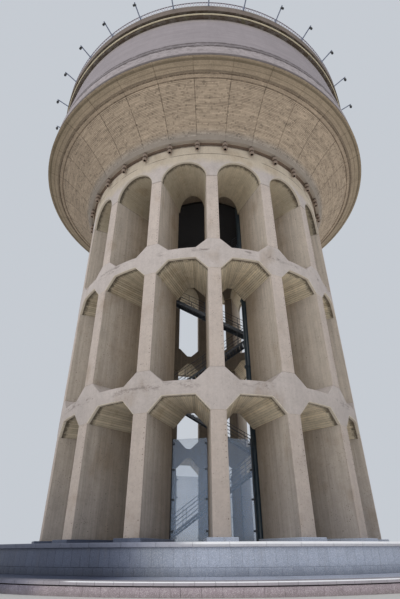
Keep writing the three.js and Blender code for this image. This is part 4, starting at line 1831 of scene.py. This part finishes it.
@dataclass
class Tank(Assembly):
    """The flared tank with its brackets, wall, cornice and roof."""

    panels: int = 32
    columns: int = 6
    wall_columns: int = 256
    slab_columns: int = 192
    coat_columns: int = 128
    bracket_columns: int = 16
    rows: int = 40
    row_gap: float = 0.007
    row_depth: float = 0.006
    row_step: float = 0.004
    row_seed: int = 4
    curve_steps: int = 400
    seat: float = 9.85
    lip: Pair = (10.135, 26.41)
    recess_rise: float = 0.09
    flare_foot: Pair = (10.45, 26.50)
    flare_pull: Pair = (11.3, 27.86)
    flare_head: Pair = (13.225, 29.315)
    band_edge: Pair = (13.649, 29.432)
    rim: float = 14.6
    rim_bottom: float = 29.732
    rim_top: float = 29.769
    groove: float = 0.016
    groove_half: float = 0.014
    groove_radius: float = 12.0
    inside: tuple[Pair, ...] = ((10.5, 27.4), (9.4, 27.1), (9.4, 26.905))
    inside_rim: float = 12.9
    floor_bottom: float = 26.2
    floor_top: float = 26.9
    coat_radius: float = 4.5
    coat_bottom: float = 25.975
    wall_inner: float = 14.14
    wall_break: Pair = (14.49, 31.11)
    wall_top: Pair = (13.86, 36.25)
    wall_thickness: float = 0.36
    bracket_radius: float = 0.15
    bracket_centre: float = 10.26
    bracket_bottom: float = 25.62
    bracket_bore: float = 0.088
    soffit_edge: float = 14.02
    cornice_inner: float = 13.0
    fillet: Pair = (14.173, 36.53)
    channel: Pair = (14.05, 36.56)
    deck: Pair = (14.25, 37.54)
    kerb: float = 13.3
    roof_bottom: float = 37.15
    roof_eaves: float = 37.4
    roof_rise: float = 0.2
    roof_joints: tuple[float, ...] = (12.2, 9.4, 6.6, 3.8, 1.2)
    ribs: Pair = (1.25, 13.24)

    def flare(self) -> tuple[list[Pair], list[float]]:
        """The flare's curve from the lip to the edge of the boards, in rows with a groove between.

        Returns:
            The points, and how far each is along the smooth curve.
        """
        marks = (self.flare_foot, self.flare_pull, self.flare_head)
        curve: list[Pair] = []
        for t in spread(0.0, 1.0, self.curve_steps):
            weights = ((1 - t) ** 2, 2 * t * (1 - t), t * t)
            curve.append((sum(w * m[0] for w, m in zip(weights, marks)),
                          sum(w * m[1] for w, m in zip(weights, marks))))
        run = run_of(curve)

        def on_curve(distance: float, depth: float) -> Pair:
            """The point under a place of the curve.

            Args:
                distance: How far the place is along the curve.
                depth: How deep the point is under it.

            Returns:
                The point.
            """
            k = max(next((i for i, length in enumerate(run) if length >= distance), len(run) - 1), 1)
            share = (distance - run[k - 1]) / (run[k] - run[k - 1])
            (r0, z0), (r1, z1) = curve[k - 1], curve[k]
            size = math.hypot(r1 - r0, z1 - z0)
            return (r0 + (r1 - r0) * share - (z1 - z0) / size * depth,
                    z0 + (z1 - z0) * share + (r1 - r0) / size * depth)

        pitch = run[-1] / self.rows
        chance = random.Random(self.row_seed)
        points, lengths = [self.flare_foot], [0.0]
        for i in range(self.rows):
            set_back = chance.uniform(0.0, self.row_step)
            for distance, depth in ((i * pitch + self.row_gap, set_back),
                                    ((i + 1) * pitch - self.row_gap, set_back),
                                    ((i + 1) * pitch, self.row_depth)):
                points.append(on_curve(distance, depth))
                lengths.append(distance)
        points[-1] = self.flare_head
        return points, lengths

    def build_cone(self) -> None:
        """The flared underside: a moulded lip, board field in panels, two mouldings and the rim."""
        seat = (self.seat, self.lip[1] + self.recess_rise)
        # The recess behind the lip, then the lip with a bead along its edge
        lip = [seat, *beside(self.lip, [
            (0.0, self.recess_rise), (0.010, 0.012), (0.017, 0.002), (0.05, 0.0), (0.057, 0.010),
            (0.09, 0.010), (0.097, 0.002), (0.265, 0.004), (0.287, 0.014), (0.295, 0.04)])]
        flare, flare_run = self.flare()
        mouldings = beside(self.flare_head, [(0.004, 0.022), (0.078, 0.038), (0.084, 0.008)])
        mouldings += beside(self.band_edge, [
            (-0.128, -0.050), (-0.122, -0.004), (-0.036, 0.018), (-0.030, -0.030), (-0.010, -0.038),
            (0.015, -0.030), (0.030, 0.008)])
        rim = beside((self.rim, self.rim_bottom), [
            (-0.12, -0.034), (-0.112, -0.010), (-0.090, -0.006), (-0.082, -0.028), (-0.012, -0.010),
            (0.0, 0.002)])
        rim += beside((self.rim, self.rim_top), [(0.0, -0.004), (-0.004, 0.0)])
        inside = [(self.inside_rim, self.rim_top), *self.inside, (self.seat, self.inside[-1][1]), seat]
        profile = lip + flare + mouldings + rim + inside
        field_end = len(lip) + len(flare)
        lengths = run_of(lip + flare[:1])
        for run in (flare_run, run_of(profile[field_end - 1:])):
            lengths += [lengths[-1] + length for length in run[1:]]
        zones = banded((2, Zone.SOFFIT), (2, Zone.SIDE), (6 + len(flare), Zone.FACE), (2, Zone.ACCENT),
                       (2, Zone.FACE), (3, Zone.ACCENT), (8, Zone.FACE), (3, Zone.ACCENT),
                       (len(inside), Zone.FACE))
        pitch, sliver = math.tau / self.panels, self.groove_half / self.groove_radius
        angles: list[float] = []
        for n in range(self.panels):
            middle = (n + 0.5) * pitch
            angles += [middle - sliver, middle, middle + sliver]
            angles += spread(middle + sliver, middle + pitch - sliver, self.columns + 1)[1:-1]
        band_end = field_end + len(mouldings)

        def push(i: int, j: int) -> float:
            """How deep the groove between two panels is at a point."""
            grooved = len(lip) < i < field_end or i in (band_end - 1, band_end)
            return self.groove if grooved and j % (self.columns + 2) == 1 else 0.0

        draft = Draft()
        draft.lathe(profile, angles, zones, push=push, around=float(self.panels), along=lengths)
        # The flat map moves by half a panel, so that each panel has a whole number of its own
        draft.flat = [[(u - 0.5, v) for u, v in face] for face in draft.flat]
        draft.fit("tank_cone", self.paints.boards, "board_concrete", "tank_cone_right", "tank_cone_left",
                  sharp=28.0)

    def build_floor(self) -> None:
        """The tank's floor slab, whose edge shows in the recess over the shaft, and a near-black disc under
        its middle that paints the shade over the core.
        """
        low, top, edge = self.floor_bottom, self.floor_top, self.coat_radius
        slab = [(0.0, low), (self.seat - 0.02, low), (self.seat - 0.002, low + 0.018),
                (self.seat - 0.002, top), (0.0, top)]
        # Every face of the slab takes the sides' zone, so over the core it gets their painted shade
        slab_draft = Draft.turned(slab, self.slab_columns, Zone.SIDE)
        slab_draft.fit("tank_floor_slab", self.paints.shaft, "board_concrete", "tank_floor")
        beam = beside((edge, self.coat_bottom), [(-0.215, 0.015), (-0.20, 0.0), (0.0, 0.0), (0.015, 0.015)])
        coat = [(0.0, low - 0.05), (edge - 0.22, low - 0.05), *beam, (edge + 0.015, low - 0.002),
                (0.0, low - 0.002)]
        # The near-black disc with its beam: painted shade over the core
        Draft.turned(coat, self.coat_columns).fit("ceiling_shade_disc", self.paints.ceiling, "dark_steel")

    def build_brackets(self) -> None:
        """Rounded nozzles with a dark bore, which hang from the lip."""
        radius, low, bore = self.bracket_radius, self.bracket_bottom, self.bracket_bore
        top = self.lip[1] + self.recess_rise - 0.005
        profile = [(0.0, low + 0.20), (bore, low + 0.20), (bore, low + 0.02), (bore + 0.012, low + 0.004)]
        profile += beside((radius, low), [
            (-0.022, 0.0), (0.008, 0.020), (0.024, 0.07), (0.028, 0.15), (-0.004, 0.215), (-0.05, 0.25),
            (-0.055, 0.35), (-0.01, 0.40), (0.03, 0.45), (0.04, 0.54), (0.01, 0.62), (-0.04, 0.66),
            (-0.045, 0.70)])
        profile += [(radius - 0.045, top), (0.0, top)]
        # The bore and the necks take the zones that the spout finish darkens as painted shade
        zones = banded((2, Zone.ACCENT), (6, Zone.FACE), (3, Zone.SOFFIT), (4, Zone.FACE), (3, Zone.SOFFIT))
        draft = Draft.turned(profile, self.bracket_columns, zones,
                             centre=Vector((0, -self.bracket_centre, 0)))
        self.ring("brackets", draft, self.paints.spout, "shaft_concrete", sharp=35.0, Count=self.panels,
                  Turn=math.pi / self.panels)

    def build_wall(self) -> None:
        """The wall, which leans in from a lift line a little above the rim."""
        (rb, zb), (rt, zt) = self.wall_break, self.wall_top
        foot, thick = self.rim_top + 0.002, self.wall_thickness
        profile = [(self.wall_inner, foot), (self.rim - 0.004, foot), (self.rim - 0.002, foot + 0.02)]
        profile += beside(self.wall_break, [
            (0.004, -0.012), (-0.006, -0.004), (-0.006, 0.006), (-0.001, 0.012)])
        profile += list(zip(spread(rb, rt, 7), spread(zb, zt, 7)))[1:]
        profile += [(rt - thick, zt), (rb - thick, zb), profile[0]]
        draft = Draft.turned(profile, self.wall_columns, around=64.0)
        draft.fit("tank_wall", self.paints.wall, "smooth_concrete", "tank_wall_right", "tank_wall_left",
                  sharp=40.0)

    def build_cornice(self) -> None:
        """The cornice: dark soffit, pale fillet, groove, and the gallery slab's rounded edge."""
        low, inner = self.wall_top[1] + 0.002, self.cornice_inner
        profile = [(inner, low), *beside((self.soffit_edge, low), [
            (0.0, 0.0), (0.025, 0.03), (0.04, 0.13), (0.095, 0.155), (0.148, 0.168), (0.153, 0.176)])]
        profile += beside(self.fillet, [(0.0, -0.012), (-0.008, 0.0)])
        profile += beside(self.channel, [
            (0.01, -0.015), (0.0, 0.0), (0.0, 0.26), (0.02, 0.29), (0.175, 0.292)])
        profile += beside(self.deck, [(0.0, -0.665), (0.0, -0.24), (-0.007, -0.234), (-0.007, -0.222),
                                      (0.0, -0.216), (0.0, -0.02), (-0.015, 0.0)])
        profile += beside((self.kerb, self.deck[1]), [(0.02, 0.0), (0.0, -0.02)])
        profile += [(self.kerb, self.roof_bottom), (inner, self.roof_bottom), (inner, low)]
        zones = banded((4, Zone.SOFFIT), (5, Zone.RING), (4, Zone.SOFFIT), (7, Zone.SIDE), (5, Zone.FACE))
        draft = Draft.turned(profile, self.wall_columns, zones)
        draft.fit("cornice_ring", self.paints.cornice, "smooth_concrete", "cornice", sharp=24.0)

    def build_roof(self) -> None:
        """The low domed roof with ribs over its panel joints."""
        def crown(radius: float) -> float:
            """The roof's height at a radius."""
            return self.roof_eaves + self.roof_rise * (1 - radius / self.kerb)

        low, edge = self.roof_bottom + 0.002, self.kerb - 0.004
        profile = [(0.0, low + 0.198), (self.cornice_inner, low), (edge, low),
                   (edge, self.roof_eaves - 0.015), (edge - 0.026, self.roof_eaves + 0.002)]
        for radius in self.roof_joints:
            profile += beside((radius, crown(radius)), [(0.02, 0.0), (0.0, -0.01), (-0.02, 0.0005)])
        profile.append((0.0, crown(0.0)))
        draft = Draft.turned(profile, self.slab_columns)
        draft.fit("roof", self.paints.cornice, "smooth_concrete", "roof_slab", sharp=20.0)
        rib = Draft()
        rib.bar([[Vector((x, -radius, crown(radius) + lift)) for x, lift in (
            (-0.05, -0.02), (-0.045, 0.022), (-0.03, 0.03), (0.03, 0.03), (0.045, 0.022), (0.05, -0.02))]
            for radius in spread(*self.ribs, 5)])
        self.ring("roof_ribs", rib, self.paints.cornice, "smooth_concrete", Turn=BAY / 2)

    def build(self) -> None:
        """Builds the tank from its lip to its roof."""
        self.build_floor()
        self.build_cone()
        self.build_brackets()
        self.build_wall()
        self.build_cornice()
        self.build_roof()


@dataclass
class Gallery(Assembly):
    """The railing round the roof, and the floodlights on arms that lean out from it."""

    deck: float = 37.54
    radius: float = 14.2
    rail_top: float = 38.245
    rail_half: float = 0.038
    low_rail: float = 37.72
    low_rail_half: float = 0.022
    rail_columns: int = 192
    rail_sides: int = 12
    balusters: int = 384
    lamps: int = 32
    lamp_turn: float = -0.0141
    lamp_lean: float = -32.0
    lamp_fins: int = 8
    arm_foot: float = 0.10
    arm_height: float = 38.10
    arm_tip: float = 15.36

    def build_rails(self) -> None:
        """The handrail and the low rail."""
        paints = self.paints
        for name, top, half, material, *nodes in (
                ("gallery_handrail", self.rail_top, self.rail_half, paints.handrail, "gallery_rail"),
                ("gallery_low_rail", self.low_rail, self.low_rail_half, paints.white)):
            ring = [(self.radius + half * math.cos(turn), top - half + half * math.sin(turn))
                    for turn in whole_turn(self.rail_sides)]
            draft = Draft.turned([*ring, ring[0]], self.rail_columns)
            draft.fit(name, material, "white_steel", *nodes, sharp=60.0)

    def build_balusters(self) -> None:
        """The closely set flat balusters with shoes on the deck."""
        draft, deck = Draft(), self.deck
        draft.block(span(0, 0.045), span(-self.radius, 0.012), (deck + 0.012, self.rail_top - 0.05), 0.004)
        draft.block(span(0, 0.055), span(-self.radius, 0.035), (deck + 0.001, deck + 0.018), 0.003)
        self.ring("gallery_balusters", draft, self.paints.baluster, "white_steel", sharp=30.0,
                  Count=self.balusters)

    def build_arms(self) -> None:
        """The arms with their clamps, posts and stays."""
        arm, radius, deck = Draft(), self.radius, self.deck
        root = deck + self.arm_foot
        arm.tube([Vector((0, -(radius + 0.02), root)), Vector((0, -(self.arm_tip - 0.03), self.arm_height))],
                 0.05, 10)
        arm.block(span(0, 0.06), (-radius - 0.06, -radius + 0.04), span(root, 0.07), 0.008)
        arm.block(span(0, 0.028), span(-radius, 0.028), (deck + 0.001, self.rail_top - 0.04), 0.006)
        arm.tube([Vector((0, -radius - 0.02, deck + 0.03)),
                  Vector((0, -radius - 0.52, self.arm_height - 0.22))], 0.014)
        self.ring("lamp_arms", arm, self.paints.arm, "white_steel", sharp=40.0, Count=self.lamps,
                  Turn=self.lamp_turn)

    def build_lamps(self) -> None:
        """The black floodlights with fins, hood and yoke."""
        head, reach = Draft(), -(self.arm_tip - 0.10)
        lean = Matrix.Translation(Vector((0, reach, self.arm_height - 0.36)))
        lean = lean @ Matrix.Rotation(math.radians(self.lamp_lean), 4, "X")
        head.block(span(0, 0.115), (-0.06, 0.04), span(0, 0.095), 0.02, lean)
        head.block(span(0, 0.122), (0.04, 0.056), span(0, 0.102), 0.005, lean)
        for x in spread(-0.096, 0.096, self.lamp_fins):
            head.block(span(x, 0.004), (-0.086, -0.056), span(0, 0.08), 0.0, lean)
        for side in (-1, 1):
            head.block(span(side * 0.123, 0.005), (-0.03, 0.0), (-0.012, 0.165), 0.001, lean)
        head.block(span(0, 0.128), (-0.03, 0.0), (0.157, 0.167), 0.001, lean)
        head.tube([lean @ Vector((0, -0.015, 0.16)), Vector((0, reach, self.arm_height))], 0.016)
        self.ring("floodlights", head, self.paints.lamp, "white_steel", sharp=30.0, Count=self.lamps,
                  Turn=self.lamp_turn)

    def build(self) -> None:
        """Builds the gallery."""
        self.build_rails()
        self.build_balusters()
        self.build_arms()
        self.build_lamps()


@dataclass
class Screen(Assembly):
    """The tall glass sheets behind the piers at ground level."""

    distance: float = 6.72
    half: float = 0.925
    thickness: float = 0.02
    floor: float = 1.467
    foot: float = 1.50
    top: float = 6.36
    jamb: float = 0.05
    fittings: tuple[float, ...] = (2.0, 3.4, 4.8, 6.1)
    pipe_room: float = 0.27

    def add(self, name: str, draft: Draft, sharp: float, material: bpy.types.Material, slot: str,
            *nodes: str) -> None:
        """Repeats a unit round the core, and makes room for the riser pipe.

        The sheet beside the pipe becomes narrower, at the end where the pipe stands.

        Args:
            name: The piece's name.
            draft: The unit.
            sharp: The angle in degrees from which an edge stays sharp.
            material: The finish.
            slot: The record's material slot.
            nodes: The solids that it stands for.
        """
        made = self.shop.rounds.repeat(name, draft.done("unit", None, sharp), material, Count=BAYS)
        outward, across = polar(1.0, BAY, 0.0), polar(1.0, BAY + math.pi / 2, 0.0)
        for vertex in made.data.vertices:
            off = vertex.co.dot(across)
            if vertex.co.dot(outward) > 0 and self.half / 2 < off < self.half * 1.4:
                vertex.co -= across * self.pipe_room
        fitted(made, slot, *nodes)

    def build(self) -> None:
        """Builds the sheets, and their dark jambs, channel and fittings."""
        sheet, half = Draft(), self.half
        sheet.block(span(0, half), span(-self.distance, self.thickness / 2), (self.foot, self.top), 0.003,
                    edge=Zone.ACCENT)
        self.add("glass_sheets", sheet, 20.0, self.paints.glass, "screen_glass", "glass_screen")
        frames = Draft()
        for side in (-1, 1):
            frames.block(span(side * (half + self.jamb / 2), self.jamb / 2), span(-self.distance, 0.05),
                         (self.floor, self.top + 0.03), 0.004)
            for height in self.fittings:
                spot = Matrix.Translation(Vector((side * (half - 0.06), -self.distance, height)))
                frames.block(span(0, 0.06), span(0, 0.024), span(0, 0.045), 0.006, spot)
        frames.block(span(0, half), span(-self.distance, 0.04), (self.floor, self.foot + 0.03), 0.004)
        self.add("glass_frames", frames, 30.0, self.paints.steel, "dark_steel")


@dataclass
class RiserPipe(Assembly):
    """The painted riser pipe with bolted flanges, behind a pier."""

    radius: float = 0.19
    distance: float = 6.15
    angle: float = 0.58
    foot: float = 1.467
    flange_radius: float = 0.26
    flange: float = 0.09
    levels: tuple[float, ...] = (1.511, 6.1, 10.9, 15.7, 20.5, 26.154)
    pipe_columns: int = 32
    bolts: int = 12
    bolt_sides: int = 6
    bolt_radius: float = 0.011
    nut_radius: float = 0.016
    bolt_half: float = 0.075

    def build_run(self, centre: Vector) -> None:
        """The pipe with its flanges, each with a groove where its two halves meet.

        Args:
            centre: The foot of its axis.
        """
        rim = self.flange_radius
        profile: list[Pair] = [(0.0, self.foot)]
        for level in self.levels:
            low, high = level - self.flange / 2 + 0.001, level + self.flange / 2
            if level > self.levels[0]:
                profile += [(self.radius, low - 0.05), (self.radius + 0.02, low)]
            profile += [(rim - 0.004, low), (rim, low + 0.004), (rim, level - 0.003), (rim - 0.01, level),
                        (rim, level + 0.003), (rim, high - 0.004), (rim - 0.004, high)]
            if level < self.levels[-1]:
                profile += [(self.radius + 0.02, high), (self.radius, high + 0.05)]
        profile.append((0.0, self.levels[-1] + self.flange / 2))
        draft = Draft.turned(profile, self.pipe_columns, centre=centre)
        draft.fit("riser_pipe_run", self.paints.pipe, "pipe_paint", "riser_pipe", sharp=30.0)

    def build(self) -> None:
        """Builds the pipe and its bolts."""
        centre = polar(self.distance, self.angle, 0.0)
        self.build_run(centre)
        half: list[Pair] = [(self.bolt_radius, 0.044), (self.nut_radius, 0.045),
                            (self.nut_radius, self.bolt_half), (0.0, self.bolt_half)]
        whole = [(radius, -height) for radius, height in reversed(half)] + half
        for i, level in enumerate(self.levels[1:-1]):
            bolt = Draft.turned(whole, self.bolt_sides)
            self.shop.orbits.fit(f"flange_bolts_{i + 1}", bolt, self.paints.pipe, "pipe_paint", sharp=30.0,
                                 Count=self.bolts, Radius=self.flange_radius - 0.032,
                                 Centre=centre + Vector((0, 0, level)))


@dataclass
class Stair(Assembly):
    """The steel stair in the core: its solids get a painted finish, and railings and nosings are added."""

    start: float = -2.85
    end: float = 3.95
    levels: tuple[float, ...] = (1.466, 6.21, 10.76, 15.31, 19.86, 24.41)
    steps: int = 26
    lane: float = 0.635
    width: float = 1.15
    rail_height: float = 1.0
    rails: tuple[float, ...] = (0.25, 0.5, 0.75, 1.0)
    rod: float = 0.012
    handrail: float = 0.022
    posts: int = 6
    reach: tuple[float, ...] = (6.44, 6.52, 6.52, 6.52, 6.44)
    beam: float = 1.3
    stringer_gap: float = 0.55
    stringer_depths: tuple[float, ...] = (0.16, 0.18, 0.18, 0.27, 0.27)
    stringer_low: float = 0.13
    stringer_high: float = 0.06
    tread_share: float = 0.475
    flange: float = 0.06
    plate: float = 0.010

    def paint(self) -> None:
        """Puts the dark paint on the landings' own solids."""
        for i in range(len(self.reach)):
            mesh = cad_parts[f"stair_landing_{i + 1}"].data
            mesh.materials.clear()
            mesh.materials.append(self.paints.steel)

    def row(self, name: str, unit: Draft, material: bpy.types.Material, **sizes: Any) -> None:
        """Lays copies of a unit along a flight.

        Args:
            name: The piece's name.
            unit: The unit.
            material: The finish.
            sizes: Values for the inputs of the row.
        """
        self.shop.rows.fit(name, unit, material, "dark_steel", sharp=30.0, **sizes)

    def add_rails(self, draft: Draft, first: Vector, last: Vector) -> None:
        """Adds the rods and the handrail of one railing.

        Args:
            draft: What they are added to.
            first: The railing's foot at one end.
            last: Its foot at the other end.
        """
        for height in self.rails:
            lift = Vector((0.0, 0.0, height))
            draft.tube([first + lift, last + lift], self.handrail if height == self.rails[-1] else self.rod)

    def build_stringers(self, i: int, way: int, first: float, middle: float) -> None:
        """The two channels that carry one flight's treads.

        Args:
            i: The flight's number, from zero.
            way: 1 where the flight rises towards +X, else -1.
            first: Where the flight starts along X.
            middle: The flight's centre line along Y.
        """
        low, high = self.levels[i], self.levels[i + 1]
        depth, flange, plate = self.stringer_depths[i], self.flange, self.plate
        channel = ((0.0, 0.0), (flange, 0.0), (flange, -plate), (plate, -plate), (plate, -depth + plate),
                   (flange, -depth + plate), (flange, -depth), (0.0, -depth))
        ends = ((first, low + self.stringer_low),
                (first + way * (self.end - self.start), high - self.stringer_high))
        draft = Draft()
        for side in (-1, 1):
            draft.bar([[Vector((x, middle + side * (self.stringer_gap - y), max(top + z, self.levels[0])))
                        for y, z in channel] for x, top in ends])
        draft.fit(f"flight_{i + 1}", self.paints.steel, "dark_steel", f"stair_flight_{i + 1}",
                  sharp=30.0)

    def build_treads(self, i: int, start: Vector, nosing: Vector, step: Vector) -> None:
        """The folded treads of one flight, each on two angles, and their nosings.

        Args:
            i: The flight's number, from zero.
            start: The middle of the first tread's top.
            nosing: The middle of the first nosing.
            step: From one tread to the next.
        """
        reach = abs(step.x) * self.tread_share
        half = self.stringer_gap - self.plate - 0.001
        tread = Draft()
        tread.block(span(0, reach), span(0, half), (-0.008, 0.0), 0.001)
        for front in (-1, 1):
            tread.block(span(front * (reach - 0.004), 0.004), span(0, half), (-0.028, -0.006), 0.001)
        for side in (-1, 1):
            tread.block(span(0, reach * 0.9), span(side * (half - 0.02), 0.02), (-0.016, -0.006), 0.001)
        self.row(f"treads_{i + 1}", tread, self.paints.steel, Count=self.steps, Start=start, Step=step)
        nose = Draft()
        nose.block(span(0, 0.022), span(0, self.width / 2 - 0.06), (-0.006, 0.008), 0.004)
        self.row(f"nosings_{i + 1}", nose, self.paints.handrail, Count=self.steps, Start=nosing,
                 Step=step)

    def build_railings(self, i: int, foot: Vector, slope: Vector) -> None:
        """The rails and posts at both sides of one flight.

        Args:
            i: The flight's number, from zero.
            foot: Where the flight's middle line starts.
            slope: From there to its end.
        """
        rails, post = Draft(), Draft()
        for side in (-1, 1):
            y = side * (self.width / 2 - 0.03)
            across = Vector((0.0, y, 0.0))
            self.add_rails(rails, foot + across, foot + slope + across)
            post.block(span(0, 0.02), span(y, 0.006), (-0.05, self.rail_height), 0.002)
        rails.fit(f"flight_rails_{i + 1}", self.paints.steel, "dark_steel", sharp=40.0)
        self.row(f"flight_posts_{i + 1}", post, self.paints.steel, Count=self.posts,
                 Start=foot + slope * 0.01, Step=slope * (1 / (self.posts - 1)) * 0.98)

    def build_flight(self, i: int) -> None:
        """One flight: its channels, treads, nosings, rails and posts.

        Args:
            i: The flight's number, from zero.
        """
        way = 1 if i % 2 == 0 else -1
        low, high = self.levels[i], self.levels[i + 1]
        first = self.start if way > 0 else self.end
        run = self.end - self.start
        rise = (high - low) / (self.steps + 1)
        going = run / self.steps
        middle = -way * self.lane
        step = Vector((way * going, 0, rise))
        front = first + way * (0.5 * going - going * self.tread_share + 0.02)
        self.build_stringers(i, way, first, middle)
        self.build_treads(i, Vector((first + way * 0.5 * going, middle, low + rise)),
                          Vector((front, middle, low + rise)), step)
        self.build_railings(i, Vector((first, middle, low + rise * 0.6)),
                            Vector((way * run, 0.0, high - low - rise)))

    def build_landing(self, i: int) -> None:
        """The railing round one landing.

        Args:
            i: The landing's number, from zero.
        """
        way = 1 if i % 2 == 0 else -1
        level = self.levels[i + 1]
        near = way * ((self.end if way > 0 else -self.start) + 0.06)
        far = way * (self.reach[i] - 0.05)
        edge = self.beam - 0.05
        corners = [Vector((x, y, level)) for x, y in ((near, -edge), (far, -edge), (far, edge), (near, edge))]
        draft = Draft()
        for a, b in zip(corners, corners[1:]):
            self.add_rails(draft, a, b)
            for share in spread(0, 1, 4):
                low = a + (b - a) * share + Vector((-0.02, -0.02, -0.01))
                high = a + (b - a) * share + Vector((0.02, 0.02, self.rail_height))
                draft.block(*zip(low, high), 0.003)
        draft.fit(f"landing_rails_{i + 1}", self.paints.steel, "dark_steel", sharp=40.0)

    def build(self) -> None:
        """Builds the stair's fittings."""
        self.paint()
        for i in range(len(self.reach)):
            self.build_flight(i)
            self.build_landing(i)


@dataclass
class Studio(Assembly):
    """The plain pale floor, soft light and the camera."""

    distance: float = 29.362
    bearing: float = 0.14245
    eye: float = 1.207
    yaw: float = -0.1590
    pitch: float = 0.5522
    roll: float = -0.0058
    lens: float = 24.479
    sensor: float = 36.0
    sight: float = 900.0
    floor_radius: float = 420.0
    floor_columns: int = 96
    sky: Colour = tint(226, 232, 240)
    sky_strength: float = 0.74
    bounce_size: float = 90.0
    bounce_power: float = 10000.0
    bounce_colour: tuple[float, float, float] = (1.0, 0.95, 0.88)

    def build_camera(self) -> None:
        """The camera at the photograph's place and angle."""
        data = bpy.data.cameras.new("camera")
        data.lens = self.lens
        data.sensor_width = self.sensor
        data.clip_end = self.sight
        camera = placed("camera", data)
        ahead = Vector((math.sin(self.yaw) * math.cos(self.pitch), math.cos(self.yaw) * math.cos(self.pitch),
                        math.sin(self.pitch)))
        right = Vector((math.cos(self.yaw), -math.sin(self.yaw), 0.0))
        up = right.cross(ahead)
        c, s = math.cos(self.roll), math.sin(self.roll)
        right, up = c * right + s * up, c * up - s * right
        turn = Matrix((right, up, -ahead)).transposed().to_4x4()
        camera.matrix_world = Matrix.Translation(polar(self.distance, self.bearing, self.eye)) @ turn
        bpy.context.scene.camera = camera

    def build_floor(self) -> None:
        """A wide round floor."""
        edge = self.floor_radius
        draft = Draft.turned([(0.0, -0.05), (edge, -0.05), (edge, -0.002), (0.0, -0.002)],
                             self.floor_columns)
        draft.done("floor", self.paints.floor)

    def build_suns(self) -> None:
        """Two broad, soft lamps that are far away."""
        for name, strength, width, azimuth, height, colour in (
                ("key", 0.92, 50.0, -16.0, 42.0, (1.0, 0.97, 0.92)),
                ("fill", 0.14, 90.0, -60.0, 18.0, (0.93, 0.96, 1.0))):
            data = bpy.data.lights.new(name, "SUN")
            data.energy = strength
            data.angle = math.radians(width)
            data.color = colour
            towards = polar(math.cos(math.radians(height)), math.radians(azimuth),
                            math.sin(math.radians(height)))
            placed(name, data).matrix_world = towards.to_track_quat("Z", "Y").to_matrix().to_4x4()

    def build_bounce(self) -> None:
        """The light that the ground throws up."""
        data = bpy.data.lights.new("bounce", "AREA")
        data.shape = "DISK"
        data.size = self.bounce_size
        data.energy = self.bounce_power
        data.color = self.bounce_colour
        lamp = placed("bounce", data)
        lamp.visible_camera = False
        lamp.visible_glossy = False
        lamp.matrix_world = Matrix.Rotation(math.pi, 4, "X")

    def build_light(self) -> None:
        """A pale world and the lamps."""
        world = bpy.data.worlds.new("studio")
        world.use_nodes = True
        back = world.node_tree.nodes["Background"]
        back.inputs["Color"].default_value = self.sky
        back.inputs["Strength"].default_value = self.sky_strength
        bpy.context.scene.world = world
        self.build_suns()
        self.build_bounce()
        bpy.context.scene.view_settings.view_transform = "Standard"

    def build(self) -> None:
        """Builds the stage."""
        self.build_camera()
        self.build_floor()
        self.build_light()


def main() -> None:
    """Builds the stage and every sub-assembly."""
    logging.basicConfig(level=logging.INFO, format="%(name)s %(message)s", stream=sys.stdout)
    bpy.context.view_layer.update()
    shop = Workshop()
    Studio(shop).build()
    for kind in (Podium, Shaft, Tank, Gallery, Screen, RiserPipe, Stair):
        log.info("building %s", kind.__name__)
        kind(shop).build()


if __name__ == "__main__":
    main()
